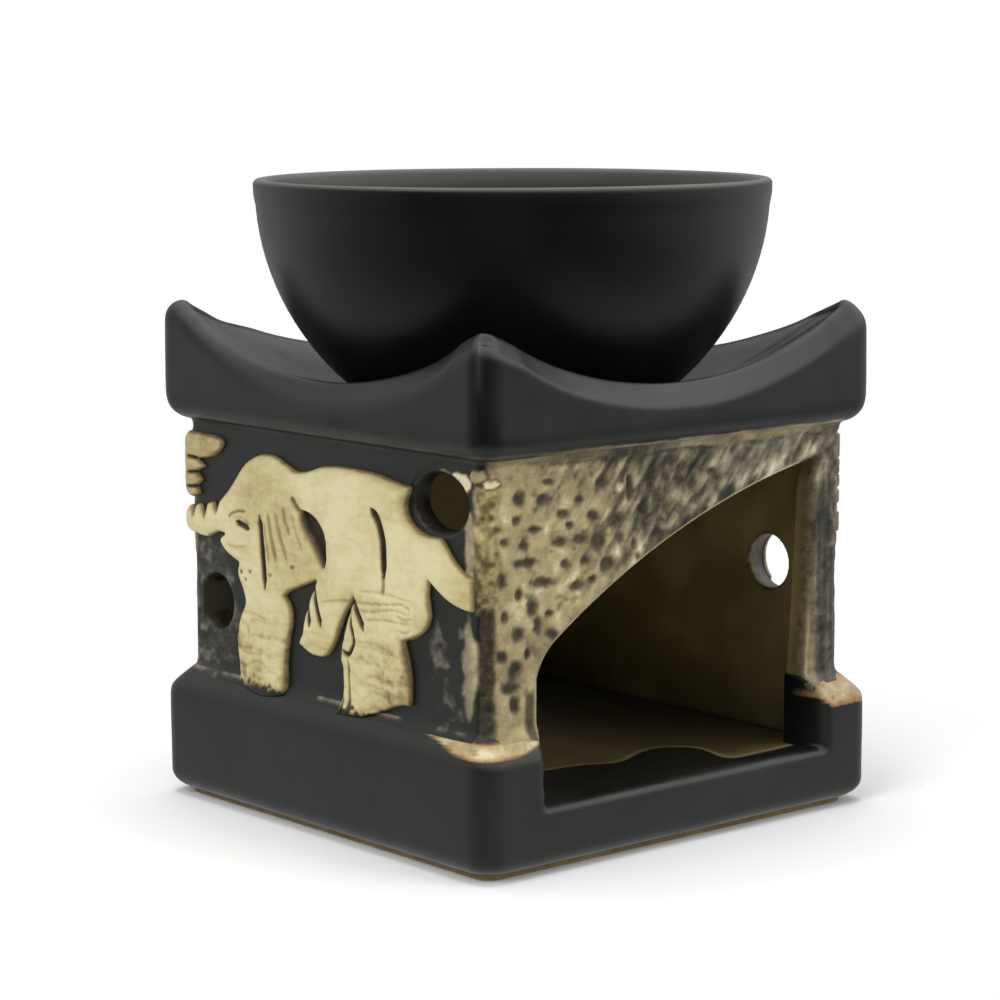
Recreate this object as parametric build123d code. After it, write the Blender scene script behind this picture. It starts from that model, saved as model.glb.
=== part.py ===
from build123d import *
import math
import os

# Essential oil burner in glazed pottery, in millimetres.
# +Z is up, the origin is the centre of the base, and the tealight doorway faces -Y.

# Hearth walls
wall_side = 91.0
wall_height = 48.9
wall_thickness = 4.5
wall_corner_radius = 3.0
inner_corner_radius = 2.5

# Plinth
plinth_overhang = 4.5
plinth_corner_radius = 5.0
plinth_side_top = 21.8
plinth_shoulder_height = 4.4
plinth_lower_round = 3.5
plinth_shoulder_round = 1.5

# Unglazed foot under the plinth
foot_height = 1.2
foot_step = 0.3
foot_width = 4.6
foot_corner_radius = 3.0

# Hearth floor
floor_top = 12.5
floor_thickness = 4.0

# Tealight doorway, seen from in front: the wall left standing beside it, and heights from the walls' foot
left_jamb_width = 12.1
right_jamb_foot_width = 11.3
right_jamb_top_width = 8.8
right_jamb_tip_width = 7.4
jamb_tip_height = 3.8
lintel_height = 6.5
arch_spring_height = 8.8
arch_bend_rise = 3.2
arch_bend_width = 1.5
arch_turn_rise = 6.3
arch_turn_width = 4.5
arch_sagitta = 4.0

# Notch that carries the doorway down through the plinth, wider at its outer face
notch_left_flare = 1.9
notch_right_flare = 2.6

# Air holes
air_hole_diameter = 10.6
oval_hole_width = 15.4
oval_hole_height = 10.8

# Raised carving on the side walls
carving_height = 1.9
carving_root = 1.0

# Up-swept roof
roof_overhang = 4.5
roof_corner_radius = 5.0
roof_crest_height = 10.9
roof_tip_height = 22.9
roof_bevel_width = 4.0
roof_bevel_height = 5.2
roof_thickness = 4.5
roof_wall_step = 0.2
roof_crest_lift = 0.3

# Oil bowl, which is a little wider than the roof
bowl_past_roof = 0.15
bowl_rim_flare = 0.35
bowl_rim_rise = 1.6
bowl_wall = 3.0
bowl_foot_radius = 15.0
bowl_lip_depth = 1.3
bowl_flare_drop = 3.5

# Seat that the roof's round hole gives the bowl
seat_hole_radius = 27.3
seat_land_width = 2.0
seat_height = 5.2
seat_clearance = 0.05

# Tealight, which stands beside the way in and short of the rear wall
cup_diameter = 38.0
cup_height = 15.5
cup_wall = 0.3
cup_bead = 0.5
cup_bead_height = 0.8
wax_below_rim = 2.0
wick_diameter = 1.4
wick_above_wax = 8.0
tab_diameter = 13.0
tab_thickness = 0.4
tab_neck_diameter = 3.0
tab_neck_height = 3.0
tealight_door_clearance = 2.4
tealight_rear_clearance = 10.0
tealight_floor_gap = 0.05

# Overrun of every cut, and the tolerance for picking edges by their place
cut_overrun = 6.0
pick_tolerance = 0.02

# Places of the air holes, as shares of the wall's half width and of its height,
# seen from outside the wall: (across, up, kind)
AIR_HOLE_SHARES = {
    "left": [(0.714, 0.826, "oval"), (-0.804, 0.274, "round")],
    "rear": [(0.714, 0.826, "oval"), (-0.804, 0.274, "round")],
    "right": [(0.714, 0.826, "oval"), (-0.651, 0.409, "round")],
}

# Outline of the carved elephant, as shares of the wall's half width and of its height,
# seen from outside the wall. Each stretch is one smooth line, and stretches meet at corners.
ELEPHANT_SHARES = [
    [(-0.934, 0.636), (-0.813, 0.677), (-0.736, 0.695)],
    [(-0.736, 0.695), (-0.673, 0.744), (-0.624, 0.791), (-0.556, 0.855), (-0.459, 0.898),
     (-0.358, 0.904), (-0.275, 0.879), (-0.200, 0.857), (-0.116, 0.867), (-0.013, 0.894),
     (0.138, 0.904), (0.316, 0.900), (0.440, 0.883), (0.560, 0.868)],
    [(0.560, 0.868), (0.530, 0.826), (0.526, 0.785), (0.555, 0.740), (0.626, 0.706), (0.740, 0.700)],
    [(0.740, 0.700), (0.770, 0.672), (0.811, 0.630), (0.879, 0.587), (0.930, 0.571)],
    [(0.930, 0.571), (0.930, 0.450)],
    [(0.930, 0.450), (0.892, 0.448), (0.804, 0.464), (0.727, 0.497), (0.664, 0.534)],
    [(0.664, 0.534), (0.655, 0.476), (0.668, 0.401), (0.635, 0.344), (0.569, 0.305), (0.501, 0.286)],
    [(0.501, 0.286), (0.527, 0.221), (0.545, 0.139), (0.541, 0.045)],
    [(0.541, 0.045), (0.450, 0.030), (0.374, 0.0)],
    [(0.374, 0.0), (0.095, 0.0)],
    [(0.095, 0.0), (0.108, 0.098), (0.097, 0.184), (0.127, 0.282), (0.185, 0.413)],
    [(0.185, 0.413), (0.123, 0.344), (0.075, 0.260), (0.026, 0.190), (-0.029, 0.153),
     (-0.114, 0.155), (-0.191, 0.184)],
    [(-0.191, 0.184), (-0.160, 0.252), (-0.132, 0.333), (-0.062, 0.448)],
    [(-0.062, 0.448), (-0.130, 0.425), (-0.246, 0.384), (-0.290, 0.360)],
    [(-0.290, 0.360), (-0.255, 0.323), (-0.244, 0.266), (-0.270, 0.180), (-0.286, 0.078), (-0.277, 0.0)],
    [(-0.277, 0.0), (-0.593, 0.0)],
    [(-0.593, 0.0), (-0.620, 0.094), (-0.624, 0.166), (-0.598, 0.247), (-0.563, 0.313),
     (-0.613, 0.407), (-0.607, 0.454)],
    [(-0.607, 0.454), (-0.686, 0.481), (-0.734, 0.515), (-0.738, 0.542), (-0.708, 0.560)],
    [(-0.708, 0.560), (-0.758, 0.562), (-0.813, 0.544), (-0.866, 0.532), (-0.934, 0.555)],
    [(-0.934, 0.555), (-0.934, 0.636)],
]

# Outline of the leafy branch over the trunk, in the same shares
BRANCH_SHARES = [
    [(-0.934, 0.951), (-0.835, 0.949), (-0.757, 0.945), (-0.721, 0.918), (-0.769, 0.873),
     (-0.853, 0.849), (-0.914, 0.846)],
    [(-0.914, 0.846), (-0.855, 0.816)],
    [(-0.855, 0.816), (-0.914, 0.789)],
    [(-0.914, 0.789), (-0.879, 0.759)],
    [(-0.879, 0.759), (-0.914, 0.732)],
    [(-0.914, 0.732), (-0.897, 0.700)],
    [(-0.897, 0.700), (-0.934, 0.664)],
    [(-0.934, 0.664), (-0.934, 0.951)],
]

# Points along a roof crest, as shares of half its length
CREST_POINT_SHARES = [-1.2, -1.0, -0.7, -0.35, 0.0, 0.35, 0.7, 1.0, 1.2]

# Sizes that follow from the ones above
wall_half = wall_side / 2
inner_side = wall_side - 2 * wall_thickness
inner_half = inner_side / 2
plinth_side = wall_side + 2 * plinth_overhang
plinth_top = plinth_side_top + plinth_shoulder_height
foot_side = plinth_side - 2 * (plinth_lower_round + foot_step)
roof_side = wall_side + 2 * roof_overhang
roof_underside = plinth_top + wall_height
roof_lower_round = roof_overhang - roof_wall_step
door_left = wall_half - left_jamb_width
door_right_foot = wall_half - right_jamb_foot_width
door_right_top = wall_half - right_jamb_top_width
door_tip_right = wall_half - right_jamb_tip_width
arch_tip_height = wall_height - lintel_height
bowl_rim_radius = roof_side / 2 + bowl_past_roof
bowl_radius = bowl_rim_radius - bowl_rim_flare
seat_radius = seat_hole_radius + seat_land_width
seat_top = roof_underside + seat_height
bowl_seat_radius = bowl_radius + seat_clearance
bowl_centre = seat_top + math.sqrt(bowl_seat_radius ** 2 - seat_radius ** 2)
tealight_x = -door_left + tealight_door_clearance + cup_diameter / 2
tealight_y = inner_half - tealight_rear_clearance - cup_diameter / 2


def rounded_prism(side, radius, bottom, top):
    """A square block with round upright corners."""
    return extrude(Pos(0, 0, bottom) * RectangleRounded(side, side, radius), top - bottom)


def edges_at_height(solid, height):
    """The edges of a solid that lie in one level plane."""
    found = []
    for edge in solid.edges():
        box = edge.bounding_box()
        low = abs(box.min.Z - height) < pick_tolerance
        high = abs(box.max.Z - height) < pick_tolerance
        if low and high:
            found.append(edge)
    return found


def turned(shape, wall):
    """Turn a shape made for the front wall to stand on another wall."""
    turns = {"front": 0, "right": 90, "rear": 180, "left": -90}
    return Rot(0, 0, turns[wall]) * shape


def wall_plane(depth):
    """A plane on the front wall, seen from outside, a depth inside its outer face."""
    return Plane(origin=(0, depth - wall_half, plinth_top), x_dir=(1, 0, 0), z_dir=(0, -1, 0))


def place(share):
    """A point on a wall from its shares of the half width and of the height."""
    return (share[0] * wall_half, share[1] * wall_height)


def outline_face(stretches, plane):
    """A flat face inside smooth stretches that meet at corners."""
    edges = []
    for stretch in stretches:
        points = [place(share) for share in stretch]
        if len(points) == 2:
            edges.append(Line(*points))
        else:
            edges.append(Spline(*points))
    return plane * make_face(Wire(edges))


def air_hole_bars(wall):
    """The air holes of one wall, each as a bar that runs through it and past the inner corner's round."""
    bars = []
    for across, up, kind in AIR_HOLE_SHARES[wall]:
        if kind == "oval":
            hole = Ellipse(oval_hole_width / 2, oval_hole_height / 2)
        else:
            hole = Circle(air_hole_diameter / 2)
        sketch = wall_plane(-cut_overrun) * Pos(*place((across, up))) * hole
        bar = extrude(sketch, -(cut_overrun + wall_thickness + inner_corner_radius))
        bars.append(turned(bar, wall))
    return bars


def make_doorway_cutter():
    """The arched doorway through the front wall."""
    foot_left = (-door_left, -cut_overrun)
    spring = (-door_left, arch_spring_height)
    bend = (arch_bend_width - door_left, arch_spring_height + arch_bend_rise)
    turn = (arch_turn_width - door_left, arch_spring_height + arch_turn_rise)
    tip = (door_tip_right, arch_tip_height)
    jamb_top = (door_right_top, arch_tip_height - jamb_tip_height)
    jamb_foot = (door_right_foot, 0)
    foot_right = (door_right_foot, -cut_overrun)
    edges = [
        Line(foot_left, spring),
        ThreePointArc(spring, bend, turn),
        SagittaArc(turn, tip, arch_sagitta),
        Line(tip, jamb_top),
        Line(jamb_top, jamb_foot),
        Line(jamb_foot, foot_right),
        Line(foot_right, foot_left),
    ]
    face = wall_plane(-cut_overrun) * make_face(Wire(edges))
    return extrude(face, -(wall_thickness + 2 * cut_overrun))


def make_notch_cutter():
    """The way in for the tealight through the plinth."""
    front = plinth_side / 2
    notch_left = door_left + notch_left_flare
    notch_right = door_right_foot + notch_right_flare
    points = [
        (-notch_left, -front - cut_overrun),
        (-notch_left, -front),
        (-door_left, -wall_half),
        (-door_left, -inner_half + cut_overrun),
        (door_right_foot, -inner_half + cut_overrun),
        (door_right_foot, -wall_half),
        (notch_right, -front),
        (notch_right, -front - cut_overrun),
    ]
    face = Pos(0, 0, floor_top) * make_face(Polyline(*points, close=True))
    return extrude(face, plinth_top - floor_top + cut_overrun)


def make_base_plinth():
    block = rounded_prism(plinth_side, plinth_corner_radius, foot_height, plinth_side_top)
    lower = Pos(0, 0, plinth_side_top) * RectangleRounded(plinth_side, plinth_side, plinth_corner_radius)
    upper = Pos(0, 0, plinth_top) * RectangleRounded(wall_side, wall_side, wall_corner_radius)
    block += loft([lower, upper])
    block = fillet(edges_at_height(block, plinth_side_top), plinth_shoulder_round)
    block = fillet(edges_at_height(block, foot_height), plinth_lower_round)
    block -= rounded_prism(inner_side, inner_corner_radius, 0, plinth_top + cut_overrun)
    return block - make_notch_cutter()


def make_foot_rim():
    rim = rounded_prism(foot_side, foot_corner_radius, 0, foot_height)
    opening_side = foot_side - 2 * foot_width
    return rim - rounded_prism(opening_side, inner_corner_radius, -cut_overrun, foot_height + cut_overrun)


def make_hearth_floor():
    return rounded_prism(inner_side, inner_corner_radius, floor_top - floor_thickness, floor_top)


def make_wall_tube():
    """All four walls as one square tube, with the doorway and the air holes cut through it."""
    tube = rounded_prism(wall_side, wall_corner_radius, plinth_top, roof_underside)
    tube -= rounded_prism(inner_side, inner_corner_radius, 0, roof_underside + cut_overrun)
    tube -= make_doorway_cutter()
    for wall in AIR_HOLE_SHARES:
        for bar in air_hole_bars(wall):
            tube -= bar
    return tube


def make_wall(tube, wall):
    """One wall of the square tube: front and rear take the corners, the sides fit between."""
    middle = plinth_top + wall_height / 2
    if wall in ("front", "rear"):
        keep = Pos(0, -wall_half + wall_thickness / 2, middle) * Box(wall_side, wall_thickness, wall_height)
    else:
        keep = Pos(0, -wall_half / 2, middle) * Box(inner_side, wall_half, wall_height)
    return tube & turned(keep, wall)


def make_carving(stretches, core, wall):
    """A raised figure on a wall, with its root cut to the wall's own face and the air holes left open."""
    face = outline_face(stretches, wall_plane(carving_root))
    figure = turned(extrude(face, carving_height + carving_root), wall) - core
    for bar in air_hole_bars(wall):
        figure -= bar
    return figure


def make_dish_profile():
    """The circle of the roof's round dish, through the seat, a crest's middle and a corner tip."""
    inset = roof_side / 2 - roof_bevel_width
    seat = Vector(seat_radius, seat_top)
    crest = Vector(inset, roof_underside + roof_crest_height)
    tip = Vector(math.hypot(inset, inset), roof_underside + roof_tip_height)
    arc = ThreePointArc(seat, crest, tip)
    return arc.arc_center, arc.radius


def dish_height(distance):
    """The dish's height at a distance from the axis."""
    centre, radius = make_dish_profile()
    return centre.Y - math.sqrt(radius ** 2 - (distance - centre.X) ** 2)


def make_dish_cutter():
    """Everything above the roof's round dish, which gives the four crests their curve."""
    middle = roof_side / 2
    far = math.hypot(middle, middle) + roof_corner_radius
    top = dish_height(far)
    seat = (seat_radius, seat_top)
    edges = [
        Line((0, seat_top), seat),
        ThreePointArc(seat, (middle, dish_height(middle)), (far, top)),
        Line((far, top), (0, top)),
        Line((0, top), (0, seat_top)),
    ]
    face = Plane.XZ * make_face(Wire(edges))
    return revolve(face, Axis.Z)


def make_bevel_cutter():
    """The wide bevel outside one crest: a line just over the crest, carried outwards and down."""
    inset = roof_side / 2 - roof_bevel_width
    points = []
    for share in CREST_POINT_SHARES:
        along = share * inset
        points.append((along, dish_height(math.hypot(inset, along)) + roof_crest_lift))
    top = points[0][1] + cut_overrun
    crest = Spline(*points)
    lid = Polyline(points[-1], (points[-1][0], top), (points[0][0], top), points[0])
    upright = Plane(origin=(0, -inset, 0), x_dir=(1, 0, 0), z_dir=(0, -1, 0))
    face = upright * make_face(Wire([crest, *lid.edges()]))
    slope = Vector(0, -roof_bevel_width, -roof_bevel_height)
    return extrude(face, 2 * slope.length, dir=slope)


def make_roof(dish):
    top = roof_underside + roof_tip_height + cut_overrun
    block = rounded_prism(roof_side, roof_corner_radius, roof_underside, top)
    block = fillet(edges_at_height(block, roof_underside), roof_lower_round)
    block -= dish
    bevel = make_bevel_cutter()
    for wall in ("front", "right", "rear", "left"):
        block -= turned(bevel, wall)
    hollow = rounded_prism(inner_side, inner_corner_radius, roof_underside, top)
    hollow -= Pos(0, 0, -roof_thickness) * dish
    block -= hollow
    block -= Pos(0, 0, roof_underside) * Cylinder(seat_hole_radius, 2 * roof_side)
    return block - Pos(0, 0, bowl_centre) * Sphere(bowl_seat_radius)


def on_circle(radius, centre_height, degrees):
    """A point on a circle about the bowl's axis, by its angle below the level."""
    angle = math.radians(degrees)
    return (radius * math.cos(angle), centre_height - radius * math.sin(angle))


def make_oil_bowl():
    flare_angle = math.degrees(math.asin(bowl_flare_drop / bowl_radius))
    foot_angle = math.degrees(math.acos(bowl_foot_radius / bowl_radius))
    foot = on_circle(bowl_radius, bowl_centre, foot_angle)
    belly = on_circle(bowl_radius, bowl_centre, (foot_angle + flare_angle) / 2)
    flare = on_circle(bowl_radius, bowl_centre, flare_angle)
    rim_top = bowl_centre + bowl_rim_rise
    lip_outer = (bowl_rim_radius, rim_top - bowl_lip_depth)
    lip_top = (bowl_rim_radius - bowl_wall / 2, rim_top)
    lip_inner = (bowl_rim_radius - bowl_wall, rim_top - bowl_lip_depth)
    inner_radius = bowl_radius - bowl_wall
    inner_floor = foot[1] + bowl_wall
    inner_flare = on_circle(inner_radius, bowl_centre, flare_angle)
    inner_angle = math.degrees(math.asin((bowl_centre - inner_floor) / inner_radius))
    inner_belly = on_circle(inner_radius, bowl_centre, (inner_angle + flare_angle) / 2)
    inner_foot = on_circle(inner_radius, bowl_centre, inner_angle)
    edges = [
        Line((0, foot[1]), foot),
        ThreePointArc(foot, belly, flare),
        Line(flare, lip_outer),
        ThreePointArc(lip_outer, lip_top, lip_inner),
        Line(lip_inner, inner_flare),
        ThreePointArc(inner_flare, inner_belly, inner_foot),
        Line(inner_foot, (0, inner_floor)),
        Line((0, inner_floor), (0, foot[1])),
    ]
    return revolve(Plane.XZ * make_face(Wire(edges)), Axis.Z)


def upright_disc(diameter, bottom, height):
    """A round piece of the tealight, from a height above its underside."""
    centre = Pos(tealight_x, tealight_y, floor_top + tealight_floor_gap + bottom)
    return extrude(centre * Circle(diameter / 2), height)


def make_tealight():
    body_diameter = cup_diameter - 2 * cup_bead
    inner_diameter = body_diameter - 2 * cup_wall
    wax_height = cup_height - wax_below_rim - cup_wall
    tab_top = cup_wall + tab_thickness
    cup = upright_disc(body_diameter, 0, cup_height)
    cup += upright_disc(cup_diameter, cup_height - cup_bead_height, cup_bead_height)
    cup -= upright_disc(inner_diameter, cup_wall, cup_height)
    tab = upright_disc(tab_diameter, cup_wall, tab_thickness)
    tab += upright_disc(tab_neck_diameter, tab_top, tab_neck_height)
    wick_height = cup_wall + wax_height + wick_above_wax - tab_top
    wick = upright_disc(wick_diameter, tab_top, wick_height)
    tab -= wick
    wax = upright_disc(inner_diameter, cup_wall, wax_height)
    wax -= tab
    wax -= wick
    return {"tealight_cup": cup, "tealight_wax": wax, "tealight_wick": wick, "wick_tab": tab}


def main():
    os.makedirs("parts", exist_ok=True)
    tube = make_wall_tube()
    core = rounded_prism(wall_side, wall_corner_radius, 0, roof_underside)
    dish = make_dish_cutter()
    nodes = {
        "base_plinth": make_base_plinth(),
        "foot_rim": make_foot_rim(),
        "hearth_floor": make_hearth_floor(),
        "roof": make_roof(dish),
        "oil_bowl": make_oil_bowl(),
    }
    for wall in ("front", "left", "right", "rear"):
        nodes[f"{wall}_wall"] = make_wall(tube, wall)
    for wall in ("left", "right", "rear"):
        nodes[f"{wall}_elephant"] = make_carving(ELEPHANT_SHARES, core, wall)
        nodes[f"{wall}_branch"] = make_carving(BRANCH_SHARES, core, wall)
    nodes.update(make_tealight())
    for name, shape in nodes.items():
        export_step(shape, f"parts/{name}.step")
        size = shape.bounding_box().size
        print(f"{name}: {size.X:.2f} x {size.Y:.2f} x {size.Z:.2f} mm")


main()
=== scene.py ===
import bpy
import math
import numpy as np
from mathutils import Matrix, Vector


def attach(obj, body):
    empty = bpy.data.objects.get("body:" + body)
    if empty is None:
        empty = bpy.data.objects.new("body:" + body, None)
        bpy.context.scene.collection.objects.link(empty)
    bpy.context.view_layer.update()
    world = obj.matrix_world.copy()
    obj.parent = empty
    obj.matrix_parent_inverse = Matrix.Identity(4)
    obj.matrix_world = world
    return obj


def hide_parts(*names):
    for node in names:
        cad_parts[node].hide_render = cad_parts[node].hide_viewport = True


# Looks of the pottery oil burner. Everything is worked out in millimetres in the CAD frame
# and turned into metres when a mesh is made.
MM = 0.001
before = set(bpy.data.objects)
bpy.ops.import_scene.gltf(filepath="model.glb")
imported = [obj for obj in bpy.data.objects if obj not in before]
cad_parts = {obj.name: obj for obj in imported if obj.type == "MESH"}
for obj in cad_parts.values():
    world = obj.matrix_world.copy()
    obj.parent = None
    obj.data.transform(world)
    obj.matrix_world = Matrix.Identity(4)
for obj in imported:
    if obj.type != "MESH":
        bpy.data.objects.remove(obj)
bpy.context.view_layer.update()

# Sizes shared with the solids
WALL_HALF, WALL_ROUND = 45.5, 3.0
INNER_HALF, INNER_ROUND = 41.0, 2.5
WALL_THICK = WALL_HALF - INNER_HALF
WALL_FOOT, WALL_TOP = 26.2, 75.1
STRAIGHT = WALL_HALF - WALL_ROUND
CORNER_ARC = WALL_ROUND * math.pi / 2
SIDE_LENGTH = 2 * STRAIGHT + CORNER_ARC
CORNER_MID = SIDE_LENGTH / 2
PLINTH_HALF, PLINTH_ROUND = 50.0, 5.0
PLINTH_FOOT, PLINTH_FOOT_ROUND = 1.2, 3.5
SIDE_TOP, FLOOR_TOP = 21.8, 12.5
DOOR_LEFT, DOOR_RIGHT = -33.4, 34.2
NOTCH_FLARE_LEFT, NOTCH_FLARE_RIGHT = 1.9, 2.6
CREST_HALF, ROOF_HALF, ROOF_SIDE_FOOT, ROOF_ROUND, ROOF_THICK = 46.0, 50.0, 79.4, 4.3, 4.5
SEAT_RADIUS, SEAT_HOLE, SEAT_TOP = 29.3, 27.3, 80.3
BOWL_RADIUS, BOWL_CENTRE, BOWL_WALL = 49.8, 120.63, 3.0
TEALIGHT = (-12.0, 12.0, 12.55)
# How far out from the middle the dressed pottery may reach, inside the box of the solids
BOX_LIMIT = 50.1
TURNS = {"front": 0.0, "right": 90.0, "rear": 180.0, "left": -90.0}
SIDE_NUMBER = {"front": 0, "right": 1, "rear": 2, "left": -1}
CARVED = ("left", "right", "rear")

# Air holes: across and up in millimetres, seen from outside, and half width and half height
UPPER_HOLE = (32.5, 66.6, 7.7, 5.4)
LOWER_HOLE = (-36.6, 39.6, 5.3, 5.3)
RIGHT_LOWER_HOLE = (-29.6, 46.2, 5.3, 5.3)
HOLES = {"front": [], "left": [UPPER_HOLE, LOWER_HOLE], "rear": [UPPER_HOLE, LOWER_HOLE],
         "right": [UPPER_HOLE, RIGHT_LOWER_HOLE]}

CARVING_LEFT = -0.934
# Outlines of the carved elephant and branch as shares of the wall's half width and height, seen
# from outside. Each smooth stretch ends where the next one starts, and the last where the first does.
ELEPHANT_SHARES = [
    [(-0.934, 0.636), (-0.813, 0.677)],
    [(-0.736, 0.695), (-0.673, 0.744), (-0.624, 0.791), (-0.556, 0.855), (-0.459, 0.898), (-0.358, 0.904),
    (-0.275, 0.879), (-0.200, 0.857), (-0.116, 0.867), (-0.013, 0.894), (0.138, 0.904), (0.316, 0.900),
    (0.440, 0.883)],
    [(0.560, 0.868), (0.530, 0.826), (0.526, 0.785), (0.555, 0.740), (0.626, 0.706)],
    [(0.740, 0.700), (0.770, 0.672), (0.811, 0.630), (0.879, 0.587)],
    [(0.930, 0.571)],
    [(0.930, 0.450), (0.892, 0.448), (0.804, 0.464), (0.727, 0.497)],
    [(0.664, 0.534), (0.655, 0.476), (0.668, 0.401), (0.635, 0.344), (0.569, 0.305)],
    [(0.501, 0.286), (0.527, 0.221), (0.545, 0.139)],
    [(0.541, 0.045), (0.450, 0.030)],
    [(0.374, 0.0), (0.250, -0.035)],
    [(0.095, -0.045), (0.108, 0.098), (0.097, 0.184), (0.127, 0.282)],
    [(0.185, 0.413), (0.123, 0.344), (0.075, 0.260), (0.026, 0.190), (-0.029, 0.153), (-0.114, 0.155)],
    [(-0.191, 0.184), (-0.160, 0.252), (-0.132, 0.333)],
    [(-0.062, 0.448), (-0.130, 0.425), (-0.246, 0.384)],
    [(-0.290, 0.360), (-0.255, 0.323), (-0.244, 0.266), (-0.270, 0.180), (-0.286, 0.078)],
    [(-0.277, -0.030), (-0.400, -0.050), (-0.520, -0.040)],
    [(-0.600, -0.020), (-0.620, 0.094), (-0.624, 0.166), (-0.598, 0.247), (-0.563, 0.313), (-0.613, 0.407)],
    [(-0.607, 0.454), (-0.686, 0.481), (-0.734, 0.515), (-0.738, 0.542)],
    [(-0.708, 0.560), (-0.758, 0.562), (-0.813, 0.544), (-0.866, 0.532)],
    [(-0.934, 0.555)],
]

BRANCH_SHARES = [
    [(-0.934, 0.951), (-0.835, 0.949), (-0.757, 0.945), (-0.721, 0.918), (-0.769, 0.873), (-0.853, 0.849)],
    [(-0.914, 0.846)], [(-0.855, 0.816)], [(-0.914, 0.789)], [(-0.879, 0.759)], [(-0.914, 0.732)],
    [(-0.897, 0.700)], [(-0.934, 0.664)],
]

# How far the carving's left end runs on round the wall's corner, as a share of the half width
WRAP_SHARES = {"left": 1.06, "rear": 1.06, "right": 0.96}

# Carved strokes on the elephant: half width, depth, darkness, then points across and up
STROKES = [
    (0.62, 0.70, 1.00, [(-27.1, 56.6), (-25.2, 56.2), (-23.0, 55.7)]),
    (0.30, 0.20, 0.50, [(-29.7, 57.2), (-28.5, 58.1), (-26.1, 58.8), (-24.0, 58.9)]),
    (0.35, 0.12, 0.22, [(-28.4, 57.4), (-25.6, 57.6), (-22.4, 56.6)]),
    (0.95, 1.00, 1.00, [(-19.4, 58.4), (-19.0, 55.6), (-18.7, 52.4), (-18.4, 49.0), (-18.1, 44.8)]),
    (0.60, 0.28, 0.34, [(-16.2, 59.2), (-15.5, 55.8), (-14.0, 50.7)]),
    (0.56, 0.26, 0.30, [(-13.9, 59.6), (-12.4, 55.3), (-10.6, 51.4)]),
    (0.52, 0.22, 0.28, [(-11.5, 61.0), (-10.9, 58.7), (-9.4, 56.2)]),
    (0.42, 0.20, 0.25, [(-17.4, 57.6), (-16.9, 53.5), (-16.2, 50.2)]),
    (0.35, 0.14, 0.20, [(-8.6, 60.0), (-7.4, 57.0), (-5.6, 53.6)]),
    (0.45, 0.30, 0.55, [(-9.2, 63.2), (-8.0, 62.2), (-6.6, 60.8)]),
    (0.88, 0.95, 1.00, [(14.9, 63.6), (16.5, 61.9), (17.9, 58.9), (18.3, 55.8), (18.5, 51.6)]),
    (0.55, 0.30, 0.50, [(18.5, 52.0), (18.5, 50.4), (18.3, 48.4)]),
    (0.60, 1.10, 1.00, [(-7.6, 43.0), (-7.6, 39.5), (-8.0, 36.4)]),
    (0.68, 1.10, 1.00, [(-6.0, 46.0), (-5.4, 43.0), (-4.4, 39.4)]),
    (0.60, 1.00, 1.00, [(-3.3, 47.0), (-2.2, 43.5), (-0.8, 39.9)]),
    (0.72, 1.00, 1.00, [(8.4, 46.2), (10.2, 43.8), (12.2, 41.0)]),
    (0.45, 0.90, 1.00, [(7.9, 44.0), (8.1, 41.5), (9.0, 39.3), (8.9, 37.4), (7.3, 35.6), (5.4, 36.1)]),
    (0.42, 0.70, 0.90, [(5.1, 33.6), (5.4, 28.5), (5.8, 22.8)]),
    (0.36, 0.30, 0.50, [(7.5, 34.6), (7.9, 30.0), (8.1, 24.4)]),
    (0.30, 0.15, 0.26, [(-0.2, 44.6), (6.0, 45.6), (12.9, 46.0), (21.0, 46.8)]),
    (0.26, 0.14, 0.24, [(10.5, 44.6), (15.0, 44.7), (20.5, 45.8), (26.2, 45.6)]),
    (0.26, 0.14, 0.24, [(13.5, 43.0), (18.5, 43.6), (25.8, 43.8)]),
    (0.24, 0.12, 0.20, [(12.0, 48.2), (19.0, 48.6), (26.6, 48.0)]),
    (0.30, 0.14, 0.30, [(21.0, 46.9), (23.6, 47.2), (26.0, 46.6)]),
    (0.28, 0.12, 0.28, [(22.0, 44.9), (24.4, 44.5), (26.4, 44.9)]),
    (0.26, 0.12, 0.24, [(22.4, 42.3), (24.2, 42.0), (25.6, 42.5)]),
    (0.30, 0.10, 0.16, [(-26.8, 39.2), (-22.0, 39.4), (-17.6, 38.6)]),
    (0.30, 0.10, 0.16, [(-27.2, 32.0), (-23.5, 31.4), (-19.5, 31.7)]),
    (0.26, 0.10, 0.12, [(9.8, 38.3), (15.0, 38.8), (20.5, 38.0)]),
    (0.28, 0.10, 0.14, [(10.6, 30.6), (15.0, 30.9), (22.6, 30.0)]),
    (0.36, 0.15, 0.60, [(-26.2, 47.2), (-25.8, 47.0), (-25.4, 47.2)]),
    (0.36, 0.15, 0.55, [(-23.2, 47.5), (-22.8, 47.4), (-22.4, 47.6)]),
    (0.32, 0.15, 0.50, [(-24.6, 45.9), (-24.3, 45.6), (-24.0, 45.9)]),
    (0.32, 0.15, 0.40, [(-16.2, 47.9), (-15.8, 47.5), (-15.4, 47.8)]),
    (0.34, 0.15, 0.45, [(-9.3, 50.2), (-8.8, 49.9), (-8.2, 50.3)]),
    (0.32, 0.15, 0.22, [(-30.6, 51.9), (-27.4, 51.6), (-24.2, 52.2)]),
]

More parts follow.
